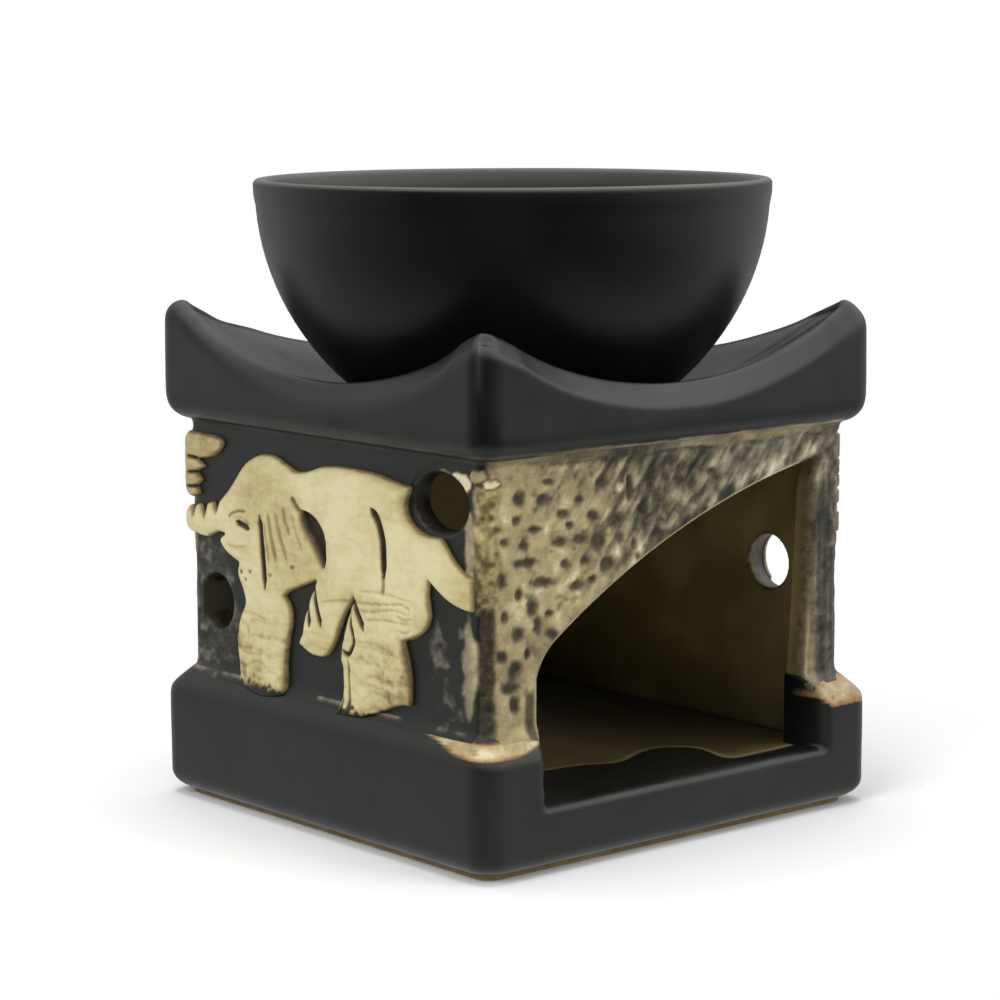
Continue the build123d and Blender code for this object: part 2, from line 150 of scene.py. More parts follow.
# Strokes between the branch's teeth, and nicks in the trunk's upper edge
BRANCH_STROKES = [(0.36, 0.5, 0.9, [(-41.4, 67.6), (-43.4, 67.8)]),
                  (0.34, 0.5, 0.9, [(-41.4, 64.8), (-43.3, 64.7)]),
                  (0.36, 0.5, 0.9, [(-41.4, 62.0), (-43.8, 61.8)])]
NICKS = [[(-40.6, 59.0), (-39.0, 56.0), (-37.6, 59.8), (-39.0, 61.2)],
         [(-36.8, 60.4), (-35.1, 57.3), (-33.2, 61.2), (-35.0, 62.4)],
         [(-43.7, 58.6), (-42.6, 56.3), (-41.6, 58.6), (-42.5, 60.0)]]

# The dark cut behind the ear, and the ear itself, which stands a little proud
EAR_CUT = [(-7.0, 61.2), (-4.0, 60.7), (-1.5, 59.7), (0.6, 57.4), (1.1, 54.7), (0.9, 51.6), (-0.5, 51.0),
           (-1.8, 53.3), (-3.9, 55.8), (-6.1, 58.5)]
EAR = [(-17.6, 44.6), (-18.4, 52.0), (-18.7, 58.5), (-14.0, 62.0), (-9.0, 62.4), (-6.5, 59.5), (-4.2, 55.8),
       (-2.0, 52.4), (-3.2, 48.6), (-9.0, 46.0)]

# Leaf lobes on the corner under the roof: across from the corner, up, half width, half height, tone
LOBES = [(-6.4, 70.9, 3.1, 1.75, 0.98), (-1.9, 72.3, 2.0, 1.1, 0.62), (0.9, 71.2, 1.6, 0.55, 1.0),
         (-11.4, 71.6, 2.0, 1.0, 0.55)]

# Pits punched in the front wall: across, up, half width, half height
PITS = [
    (-37.9, 68.0, 1.0, 0.9), (-32.2, 67.3, 1.3, 0.8), (-38.6, 64.1, 0.9, 0.7), (-27.3, 64.3, 1.2, 0.7),
    (-34.0, 62.1, 1.6, 0.5), (-23.6, 66.6, 0.9, 0.8), (-18.0, 69.0, 1.1, 0.8), (-20.0, 63.2, 1.0, 1.0),
    (-28.2, 59.1, 1.4, 0.7), (-23.6, 59.3, 1.2, 0.7), (-18.7, 58.4, 1.1, 1.2), (-36.4, 56.3, 2.1, 0.6),
    (-27.0, 55.2, 0.8, 0.7), (-16.7, 54.1, 1.2, 1.0), (-13.7, 58.2, 0.9, 1.0), (-32.3, 52.3, 2.0, 0.7),
    (-38.0, 50.7, 0.7, 1.0), (-24.3, 50.9, 1.5, 0.7), (-34.9, 48.0, 0.9, 1.2), (-41.2, 47.0, 0.6, 0.8),
    (-38.4, 43.5, 1.1, 1.0), (-41.8, 40.1, 0.9, 0.8), (-38.8, 37.8, 1.1, 1.1), (-29.9, 42.9, 1.0, 0.7),
    (-33.6, 44.8, 0.7, 1.1), (-39.2, 31.2, 0.9, 1.0), (-40.2, 34.0, 1.2, 0.7), (-10.1, 56.9, 0.7, 1.1),
    (-9.4, 54.7, 0.6, 0.7), (-15.3, 62.1, 1.0, 0.8), (-11.2, 67.6, 0.7, 1.4), (-31.0, 70.4, 1.0, 0.5),
    (-41.5, 60.6, 0.8, 0.6), (-42.0, 53.6, 0.6, 0.9), (-25.8, 62.0, 0.6, 0.5), (-30.8, 46.6, 0.7, 0.5),
    (-20.4, 51.6, 0.7, 0.5), (-22.4, 55.4, 0.7, 0.6), (-36.2, 39.8, 0.5, 0.7), (-36.9, 59.6, 0.6, 0.5),
    (0.6, 67.8, 1.0, 1.1), (4.4, 66.7, 0.8, 1.0), (-3.6, 60.9, 1.2, 0.9), (9.5, 68.6, 1.0, 0.6),
]

# Grooves pressed in the front wall right of the pits
GROOVES = [
    (0.8, 0.6, 0.8, [(-11.6, 70.0), (-10.9, 67.0), (-11.5, 65.2)]),
    (0.9, 0.6, 0.7, [(-9.0, 63.8), (-7.4, 61.6), (-7.0, 59.4)]),
    (1.0, 0.7, 0.8, [(-6.2, 70.4), (-5.6, 66.6), (-3.0, 64.2), (-1.8, 61.6)]),
    (0.9, 0.5, 0.7, [(-3.0, 70.2), (-1.6, 67.2), (-2.2, 65.4)]),
    (0.8, 0.5, 0.6, [(1.8, 63.6), (0.2, 61.6), (-0.6, 60.2)]),
    (0.7, 0.4, 0.5, [(6.0, 64.6), (4.0, 62.8)]),
]


# Small maths
def hashed(cells, seed):
    """Random numbers from -1 to 1 for whole-numbered cells."""
    n = np.bitwise_xor.reduce(cells * np.array([73856093, 19349663, 83492791]), axis=-1) ^ (seed * 265443576)
    n = (n ^ (n >> 13)) * 1274126177
    return ((n ^ (n >> 16)) & 0xFFFFFF) / float(0xFFFFFF) * 2.0 - 1.0


def noise(points, size, seed):
    """Smooth noise from -1 to 1 at points in millimetres, with features of that size."""
    p = np.asarray(points, float) / size
    cell = np.floor(p).astype(np.int64)
    f = p - cell
    f = f * f * (3.0 - 2.0 * f)
    total = np.zeros(p.shape[:-1])
    for corner in np.ndindex(2, 2, 2):
        share = np.where(corner, f, 1 - f)
        total += share[..., 0] * share[..., 1] * share[..., 2] * hashed(cell + corner, seed)
    return total


def fractal(points, size, seed, octaves=3):
    return sum(noise(points, size / 2 ** k, seed + k) / 2 ** k for k in range(octaves))


def rise(x, low, high):
    """Goes smoothly from 0 below low to 1 above high."""
    t = np.clip((x - low) / (high - low), 0.0, 1.0)
    return t * t * (3.0 - 2.0 * t)


def fall(x, low, high):
    return 1 - rise(x, low, high)


def between(x, low, high, soft):
    return rise(x, low - soft / 2, low + soft / 2) * fall(x, high - soft / 2, high + soft / 2)


def blend(under, over, share):
    return under * (1.0 - share) + over * share


def softplus(x, width):
    return width * np.logaddexp(0.0, x / width)


def shoulder(distance, radius):
    """A quarter round: 0 at the edge, 1 from that radius inwards."""
    t = np.clip(distance / radius, 0.0, 1.0)
    return np.sqrt(np.clip(1.0 - (1.0 - t) ** 2, 0.0, 1.0))


def bell(x, middle, width):
    return np.exp(-((x - middle) / width) ** 2)


def stack(*columns):
    """Points from their coordinates, where one may be the same number for all."""
    return np.stack(np.broadcast_arrays(*columns), -1).astype(float)


def smooth_line(points, per_span):
    """A smooth line through points."""
    p = np.asarray(points, float)
    if len(p) < 3:
        return p
    ends = np.vstack([2 * p[0] - p[1], p, 2 * p[-1] - p[-2]])
    out = []
    for i in range(len(p) - 1):
        a, b, c, d = ends[i:i + 4]
        for t in np.arange(per_span) / per_span:
            out.append(0.5 * (2 * b + (c - a) * t + (2 * a - 5 * b + 4 * c - d) * t * t
                              + (3 * b - a - 3 * c + d) * t ** 3))
    return np.array(out + [p[-1]])


def smooth_loop(points):
    return smooth_line(points + points[:1], 4)


def line_distance(u, z, points):
    """Distance to a line through points, and how far along it, from 0 to 1."""
    best, along = np.full(np.shape(u), 1e9), np.zeros(np.shape(u))
    spans = len(points) - 1
    for i in range(spans):
        (ax, az), (bx, bz) = points[i], points[i + 1]
        ex, ez = bx - ax, bz - az
        t = np.clip(((u - ax) * ex + (z - az) * ez) / max(ex * ex + ez * ez, 1e-12), 0.0, 1.0)
        d = np.hypot(u - ax - t * ex, z - az - t * ez)
        along = np.where(d < best, (i + t) / spans, along)
        best = np.minimum(d, best)
    return best, along


def polygon_room(u, z, points):
    """Distance to a closed outline, positive inside it."""
    closed = np.vstack([points, points[:1]])
    inside = np.zeros(np.shape(u), bool)
    for (ax, az), (bx, bz) in zip(closed[:-1], closed[1:]):
        if az != bz:
            inside ^= ((az > z) != (bz > z)) & (u < (bx - ax) * (z - az) / (bz - az) + ax)
    d, _ = line_distance(u, z, closed)
    return np.where(inside, d, -d)


def ellipse_room(u, z, cu, cz, ru, rz):
    """Distance to an ellipse, positive outside it."""
    x, y = u - cu, z - cz
    k = np.hypot(x / ru, y / rz) + 1e-9
    slope = np.hypot(x / ru ** 2, y / rz ** 2) / k + 1e-9
    return np.clip((k - 1.0) / slope, -60.0, 60.0)


def patch(u, z, ellipse, low, high, shift=0.0):
    """1 inside an ellipse, 0 outside, and soft between two distances from its edge."""
    return rise(shift - ellipse_room(u, z, *ellipse), low, high)


def spot(x, z, cx, cz, rx, rz):
    """1 in the middle of an ellipse, 0 from its edge outwards, with soft sides."""
    return fall(np.hypot((x - cx) / rx, (z - cz) / rz), 0.35, 1)


def circle_through(a, b, c):
    """Centre and radius of the circle through three points."""
    (ax, ay), (bx, by), (cx, cy) = a, b, c
    sa, sb, sc = ax ** 2 + ay ** 2, bx ** 2 + by ** 2, cx ** 2 + cy ** 2
    d = 2 * (ax * (by - cy) + bx * (cy - ay) + cx * (ay - by))
    ux = (sa * (by - cy) + sb * (cy - ay) + sc * (ay - by)) / d
    uy = (sa * (cx - bx) + sb * (ax - cx) + sc * (bx - ax)) / d
    return ux, uy, math.hypot(ax - ux, ay - uy)


def arc_through(a, b, c, count):
    """Points on the circle through three points, from a to c."""
    ux, uy, r = circle_through(a, b, c)
    start, end = (math.atan2(y - uy, x - ux) for x, y in (a, c))
    turn = (end - start + math.pi) % (2 * math.pi) - math.pi
    angles = [start + turn * k / count for k in range(count + 1)]
    return [(ux + r * math.cos(t), uy + r * math.sin(t)) for t in angles]


def turned(points, degrees):
    """Points or directions, turned about the z axis."""
    x, y = points[..., 0], points[..., 1]
    c, s = np.cos(np.radians(degrees)), np.sin(np.radians(degrees))
    return np.stack([x * c - y * s, x * s + y * c, points[..., 2]], -1)


# Meshes
def make_piece(node, look, body, material, verts, faces, attributes=None, normals=None):
    """A mesh that rides on a body and stands in for one CAD node. verts are in millimetres."""
    name = f"{node}_{look}"
    mesh = bpy.data.meshes.new(name)
    mesh.from_pydata((np.asarray(verts) * MM).tolist(), [], faces)
    mesh.update()
    mesh.polygons.foreach_set("use_smooth", np.ones(len(mesh.polygons), bool))
    for key, values in (attributes or {}).items():
        layer = mesh.attributes.new(key, "FLOAT", "POINT")
        layer.data.foreach_set("value", np.asarray(values, np.float32))
    if normals is not None and np.any(normals):
        mesh.normals_split_custom_set_from_vertices(normals.tolist())
    mesh.materials.append(material)
    piece = bpy.data.objects.new(name, mesh)
    bpy.context.scene.collection.objects.link(piece)
    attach(piece, body)
    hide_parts(node)


def nearest_step(v):
    return np.minimum(np.diff(v, prepend=2 * v[0] - v[1]), np.diff(v, append=2 * v[-1] - v[-2]))


def cut_grid(us, zs, room):
    """The faces of a grid that lie inside an outline. room(u, z) is positive inside.
    Returns points (u, z) and faces, with the faces at the edge cut to the outline."""
    u, z = np.meshgrid(us, zs, indexing="ij")
    d = room(u, z)
    near = np.abs(d) < 0.25 * np.minimum(nearest_step(us)[:, None], nearest_step(zs)[None, :])
    border_u, border_z = np.zeros((2,) + u.shape, bool)
    border_u[[0, -1], :] = border_z[:, [0, -1]] = True
    # points close to the outline move onto it, along the border where they lie on one
    i, j = np.nonzero(near & ~(border_u & border_z))
    step = 1e-3
    pu, pz, pd = u[i, j], z[i, j], d[i, j]
    gu = (room(pu + step, pz) - room(pu - step, pz)) / (2 * step)
    gz = (room(pu, pz + step) - room(pu, pz - step)) / (2 * step)
    along_u = border_z[i, j] & (np.abs(gu) > 0.3)
    along_z = border_u[i, j] & (np.abs(gz) > 0.3)
    free = ~border_z[i, j] & ~border_u[i, j]
    for out, before, slope, along in ((u, pu, gu, along_u), (z, pz, gz, along_z)):
        slid = before - pd / np.where(along, slope, 1.0)
        out[i, j] = np.where(free, before - pd * slope, np.where(along, slid, before))
    d[i, j] = np.where(free | along_u | along_z, 0.0, pd)
    keep = d >= 0
    number = np.full(u.shape, -1)
    number[keep] = np.arange(keep.sum())
    points = np.stack([u[keep], z[keep]], 1)
    corners = keep[:-1, :-1], keep[1:, :-1], keep[1:, 1:], keep[:-1, 1:]
    full, some = np.all(corners, 0), np.any(corners, 0)
    i, j = np.nonzero(full)
    faces = np.stack([number[i, j], number[i + 1, j], number[i + 1, j + 1], number[i, j + 1]], 1).tolist()
    # cells that the outline crosses
    crossings = {}
    for i, j in np.argwhere(some & ~full).tolist():
        corners = [(i, j), (i + 1, j), (i + 1, j + 1), (i, j + 1)]
        face = []
        for a, b in zip(corners, corners[1:] + corners[:1]):
            if keep[a]:
                face.append(int(number[a]))
            inside, outside = (a, b) if keep[a] else (b, a)
            if keep[a] != keep[b] and d[inside] > 0:
                face.append(crossings.setdefault((inside, outside), len(points) + len(crossings)))
        if len(set(face)) > 2:
            faces.append(face)
    if crossings:
        a, b = (tuple(np.array(ends).T) for ends in zip(*crossings))
        low, high = np.zeros(len(crossings)), np.ones(len(crossings))
        for _ in range(12):
            mid = (low + high) / 2
            inside = room(u[a] + (u[b] - u[a]) * mid, z[a] + (z[b] - z[a]) * mid) > 0
            low, high = np.where(inside, mid, low), np.where(inside, high, mid)
        cut = np.stack([u[a] + (u[b] - u[a]) * low, z[a] + (z[b] - z[a]) * low], 1)
        points = np.vstack([points, cut])
    return points, faces


def close_sheet(front, back, faces):
    """A closed solid from a sheet's front and back points, which share the faces."""
    count = len(front)
    edges = {(a, b): True for face in faces for a, b in zip(face, face[1:] + face[:1])}
    sides = [[b, a, a + count, b + count] for a, b in edges if (b, a) not in edges]
    backs = [[v + count for v in reversed(face)] for face in faces]
    return np.vstack([front, back]), faces + backs + sides


def welded(verts, faces, *channels):
    """Joins points that lie in the same place."""
    keys = np.round(verts * 1e5).astype(np.int64)
    _, first, inverse = np.unique(keys, axis=0, return_index=True, return_inverse=True)
    inverse = inverse.reshape(-1)
    joined = [list(dict.fromkeys(int(inverse[v]) for v in face)) for face in faces]
    return [verts[first], [face for face in joined if len(face) > 2]] + [c[first] for c in channels]


def make_sheet(node, look, material, front, back, faces, values, turn=0.0, normals=None):
    """A closed piece of the burner from a sheet's front and back points. values holds the front's and
    the back's values of each attribute, where the back may have one number for all."""
    verts, solid = close_sheet(front, back, faces)
    if normals is None:
        normals = np.zeros((len(front), 3))
    normals = np.vstack([normals, 0 * normals])
    channels = [np.concatenate([before, behind + 0 * before]) for before, behind in values.values()]
    verts, solid, normals, *channels = welded(turned(verts, turn), solid, turned(normals, turn), *channels)
    make_piece(node, look, "burner", material, verts, solid, dict(zip(values, channels)), normals)


def lathe(profile, count, wobble):
    """A closed body turned about the z axis. profile is a list of (radius, height) from axis to axis."""
    ring = np.array(profile[1:-1])
    a, r = np.meshgrid(np.arange(count) * 2 * math.pi / count, ring[:, 0])
    r, h = wobble(r, np.repeat(ring[:, 1:], count, 1), a)
    verts = np.vstack([stack(r * np.cos(a), r * np.sin(a), h).reshape(-1, 3),
                       [[0, 0, profile[0][1]], [0, 0, profile[-1][1]]]])
    last = len(verts) - 1
    top = (len(ring) - 1) * count
    faces = []
    for j in range(count):
        k = (j + 1) % count
        faces += [[i + j, i + k, i + count + k, i + count + j] for i in range(0, top, count)]
        faces += [[last - 1, k, j], [last, top + j, top + k]]
    return verts, faces


# The walls' shape
def way_from(g, sides):
    """Way from a side's middle, or from a corner, as so many sides on from the front's middle."""
    return (g - sides * SIDE_LENGTH + 2 * SIDE_LENGTH) % (4 * SIDE_LENGTH) - 2 * SIDE_LENGTH


def on_side(g, side):
    """Way along one wall from the way round all four."""
    return way_from(g, SIDE_NUMBER[side])


def wall_path(s):
    """Point and outward direction on the walls' outer face, from the way along it."""
    a, sign = np.abs(s), np.where(s < 0, -1.0, 1.0)
    angle = np.clip((a - STRAIGHT) / WALL_ROUND, 0.0, math.pi / 2)
    x = np.minimum(a, STRAIGHT) + WALL_ROUND * np.sin(angle)
    y = -(STRAIGHT + WALL_ROUND * np.cos(angle)) + np.maximum(a - STRAIGHT - CORNER_ARC, 0.0)
    return stack(sign * x, y, 0), stack(sign * np.sin(angle), -np.cos(angle), 0)


def wall_point(g, z):
    """Undisturbed point on the walls' outer face from the way round all four."""
    side = np.floor((g + CORNER_MID) / SIDE_LENGTH)
    out = turned(wall_path(g - side * SIDE_LENGTH)[0], 90.0 * side)
    out[..., 2] = z
    return out


def foot_flare(z):
    """How far the wall's foot runs out over the plinth's shoulder."""
    return softplus((26.35 - z) * 0.87, 0.35)


def wall_stance(z):
    """How far the wall's face stands out at its foot and under the roof."""
    return foot_flare(z) + 0.7 * (1 - shoulder(WALL_TOP + 0.1 - z, 1.5)) - 0.35 * fall(z, 23.9, 24.7)


def stroke_field(u, z, strokes):
    """Depth and darkness of carved strokes."""
    depth, dark = np.zeros(np.shape(u)), np.zeros(np.shape(u))
    for half, deep, shade, points in strokes:
        d, along = line_distance(u, z, smooth_line(points, 4))
        taper = np.clip(np.minimum(along, 1 - along) * 5 + 0.45, 0.0, 1.0)
        cut = bell(d, 0, half * taper)
        depth = np.maximum(depth, deep * cut * (0.5 + 0.5 * taper))
        dark = np.maximum(dark, shade * rise(cut, 0.12, 0.7))
    return depth, dark


# Every paint function gives displacement, tone and greyness. Tone 0 is black and 1 is pale cream.
def front_paint(x, z, p):
    """The front wall's cream glaze, dark and streaked toward the right."""
    rough = fractal(p, 3.2, 21, 3)
    broad = fractal(p, 11, 23, 2)
    ridge = fractal(stack((0.64 * x + 0.77 * z) / 4.2, (0.64 * z - 0.77 * x) / 1.25, 0), 1, 35, 2)
    dark_side = rise(x + 2.5 * rough + 0.3 * (z - 62), -27, -1)
    far_side = rise(x + 2 * rough, 4, 20)
    left_tone = 0.7 + 0.08 * broad + 0.12 * rough + 0.18 * spot(x, z, -36, 47.5, 6, 6.5)
    left_tone -= 0.12 * rise(z, 68, 73)
    right_tone = 0.27 + 0.3 * ridge + 0.12 * rough + 0.13 * far_side
    tone = blend(left_tone, right_tone, dark_side)
    tone += 0.2 * ridge * between(x, -32, -8, 12) * rise(z, 44, 52)
    grey = 0.02 + 0.3 * dark_side + 0.15 * far_side
    lift = 0.1 * ridge * dark_side + 0.06 * rough
    # pits punched in the clay, and specks between them
    pit = np.zeros(np.shape(x))
    wobble = 1 + 0.3 * rough + 0.16 * noise(p, 1.2, 31)
    for cx, cz, rx, rz in PITS:
        away = np.hypot((x - cx) / (rx * 1.36), (z - cz) / (rz * 1.45)) * wobble
        pit = np.maximum(pit, fall(away, 0.25, 1.5))
    speck = rise(fractal(p * np.array([1, 1, 1.25]), 1.9, 37, 2), 0.55, 1.05)
    speck *= between(x, -40, 6, 14) * rise(z, 30, 40)
    tone = blend(tone, 0.14 + 0.04 * dark_side, np.clip(1.1 * pit + 0.45 * speck, 0.0, 0.92))
    groove, dark = stroke_field(x, z, GROOVES)
    tone = blend(tone, 0.14, 0.75 * dark)
    lift -= 0.5 * pit + 0.2 * speck + groove
    # a painted highlight: a small white glint on the glaze
    tone += 0.55 * spot(x, z, -13.8, 67.8, 1.4, 1.3)
    # the jambs: warm and worn on the left, streaked and dark on the right
    tone -= 0.1 * fall(z, 40, 48) * fall(x, -34, -30)
    tone = blend(tone, 0.12, 0.85 * between(x, -36.7, -34.7, 0.8) * fall(z + 1.2 * rough, 32.5, 35))
    streak = fractal(stack(x / 0.9, z / 9, 0), 1, 41, 2)
    jamb = rise(x + 0.4 * streak, 32.5, 34.5) * fall(z, 68.5, 70.5)
    jamb_tone = 0.27 + 0.13 * streak + 0.08 * rough - 0.1 * rise(x, 38.2, 40)
    jamb_tone += 0.24 * between(x, 34.6, 36, 0.9) * fall(z, 56, 64)
    jamb_tone += 0.12 * fall(z, 28, 40) * fall(x, 36, 38)
    tone = blend(tone, jamb_tone, jamb)
    grey = blend(grey, 0.15 + 0.45 * rise(x, 37.6, 39.6), jamb)
    # a lighter edge along the arch's upper part
    arch, _ = line_distance(x, z, ARCH_LINE)
    tone += 0.26 * dark_side * rise(rough + 0.4 * ridge, -0.2, 0.6) * between(arch, 0.5, 4, 2)
    # the bare strip under the roof, with painted shade from the roof darkening it left of the middle, and a
    # broken dark line below it
    base_line = 73.4 + 0.35 * broad + 0.3 * rough
    strip = rise(z, base_line - 0.1, base_line + 0.5)
    strip_tone = 0.42 - 0.18 * rise(x, -36, -24) + 0.28 * rise(x, -10, 4) + 0.12 * rough
    strip_tone += 0.1 * broad - 0.08 * rise(x, 20, 40)
    tone = blend(tone, strip_tone, strip * fall(x, 38, 44))
    grey = blend(grey, 0.3 * between(x, -25, 8, 10), strip)
    line = bell(z, base_line - 0.15, 0.42) * rise(broad + 0.5 * rough, -0.9, 0.1)
    tone = blend(tone, 0.16, 0.6 * line * between(x, -31, 30, 6))
    return lift + 0.22 * strip - 0.2 * line, tone, grey


def side_paint(s, z, p):
    """A carved wall's black ground, mottled beside the legs and pale at its right end."""
    rough = fractal(p, 3, 121, 3)
    swirl = fractal(p, 2.4, 131, 3)
    tone = np.full(np.shape(s), -0.06)
    mottle = patch(s, z, (-39.5, 38, 9.5, 14), -2, 1.5, 1.5 * rough)
    tone = np.maximum(tone, mottle * (0.12 + 0.26 * rise(swirl, -0.15, 0.85)) - 0.04)
    speckle = patch(s, z, (35.5, 38, 6, 12), -1.5, 1.5, 1.5 * rough)
    tone = np.maximum(tone, speckle * (0.04 + 0.26 * rise(swirl, 0.05, 0.9)) - 0.04)
    low = patch(s, z, (40.6, 37.5, 2.1, 9.5), -0.6, 0.9, 0.9 * rough)
    tone = blend(tone, 0.52 + 0.16 * rough, low)
    high = patch(s, z, (40.9, 59, 1.6, 7), -0.5, 0.6, 0.5 * rough)
    tone = blend(tone, 0.64 + 0.1 * rough, high)
    # a painted highlight: a broken pale line along the shoulder's crest
    shoulder_highlight = between(z, 25.4, 26, 0.4) * rise(fractal(p, 6, 141, 2), -0.3, 0.2)
    tone = blend(tone, 0.5 + 0.1 * rough, 0.85 * shoulder_highlight)
    return 0.1 * np.clip(tone, 0.0, 0.5), tone, 0.75 - 0.55 * np.maximum(low, high)


# The walls' corners: which one, how strong its column is, and how much darker and greyer it is
CORNERS = [(-0.5, 1.0, 0.0), (0.5, 0.9, 0.2), (1.5, 1.0, 0.0), (2.5, 1.0, 0.05)]


def wall_relief(g, z):
    """Displacement, tone and greyness of the walls' outer face, from the way round all four."""
    p = wall_point(g, z)
    rough = fractal(p, 3, 151, 3)
    stipple = fractal(p, 1.05, 161, 2)
    x = on_side(g, "front")
    front = rise(CORNER_MID + 0.2 - np.abs(x) + 0.25 * rough, -0.8, 0.8)
    plain = side_paint((g + 4.5 * SIDE_LENGTH) % SIDE_LENGTH - CORNER_MID, z, p)
    lift, tone, grey = (blend(under, over, front) for under, over in zip(plain, front_paint(x, z, p)))
    split = 49.0 + 1.8 * rough
    above = rise(z, split - 1.5, split + 1.5)
    for corner, strength, shade in CORNERS:
        c = way_from(g, corner)
        upper = between(c + 0.6 * rough, -2.7, 2.3, 1.8) * above * fall(z, 70.2, 71)
        up_tone = 0.5 - shade + 0.3 * stipple + 0.1 * rough - 0.06 * fall(z, 50, 60)
        lower = between(c + 0.35 * rough, -1.6, 1.4, 1.2) * (1 - above)
        tone = blend(blend(tone, up_tone, strength * upper), 0.13 + 0.05 * stipple, strength * lower)
        grey = blend(blend(grey, -0.12 + 1.8 * shade, upper), 0.2, lower)
        lift += 0.12 * stipple * upper - 0.22 * lower
        for across, up, wide, high, lobe_tone in LOBES if corner != 0.5 else []:
            d = 0.35 * rough + 0.25 * stipple - ellipse_room(c, z, across, up, wide, high)
            outline = rise(d, -0.65, -0.15)
            inside = rise(d, -0.25, 0.15)
            tone = blend(blend(tone, 0.12, 0.65 * outline), lobe_tone + 0.06 * rough, inside)
            grey = blend(grey, 0.05, outline)
            lift = blend(lift, 0.35 * shoulder(d + 0.2, 0.9) * (inside > 0) - 0.05, outline)
    return lift + 0.12 * fractal(p, 16, 11, 2) * rise(z, WALL_FOOT, WALL_FOOT + 3), tone, grey


def hearth_brown_and_shade(side, u, z):
    """How brown the hearth's inner side is, from 0, black, to 1, with painted shade: darkest on the left
    side, darker on the front, toward the front and rear end of the right wall, at the rear's left end and low
    down.
    """
    # the sides' levels and the darkening below are painted shade inside the hearth
    level = {"front": 0.75, "left": 0.5, "rear": 0.95, "right": 1.0}[side] + 0 * u
    if side == "right":
        level -= 0.5 * rise(-u, 4, 32) * (1 - 0.7 * rise(z, 36, 60)) + 0.34 * rise(u, 26, 41)
    if side == "rear":
        level *= 1 - 0.85 * rise(u, 22, 35)
    return level * (0.45 + 0.55 * rise(z, 12, 34))


def hole_room(side, u, z):
    return np.minimum.reduce([30 + 0 * u] + [ellipse_room(u, z, *hole) for hole in HOLES[side]])


# The doorway's arch: it springs at the left, bends, and rises to a tip at the right
SPRING, BEND, ARCH_TURN = (DOOR_LEFT, 35.0), (-31.9, 38.2), (-28.9, 41.3)
ARCH_MIDDLE, ARCH_TIP = (3.09, 58.65), (38.1, 68.6)
ARCH_LINE = [(DOOR_LEFT, 26.0), SPRING, BEND, ARCH_TURN, (-17.2, 48.4), (-7.3, 53.6), (3.1, 58.2),
             (14.6, 62.2), (26.2, 65.7), ARCH_TIP]


def door_outline():
    foot = [26.6, 26.0, 25.4, 24.8, 24.2, 23.4, 22.0]
    left = [(DOOR_LEFT - NOTCH_FLARE_LEFT * foot_flare(h) / WALL_THICK, h) for h in foot[::-1]]
    right = [(DOOR_RIGHT + NOTCH_FLARE_RIGHT * foot_flare(h) / WALL_THICK, h) for h in foot]
    arch = arc_through(SPRING, BEND, ARCH_TURN, 6) + arc_through(ARCH_TURN, ARCH_MIDDLE, ARCH_TIP, 40)[1:]
    return left + arch + [(37.9, 67.2), (36.7, 64.8), (35.6, 45.0)] + right


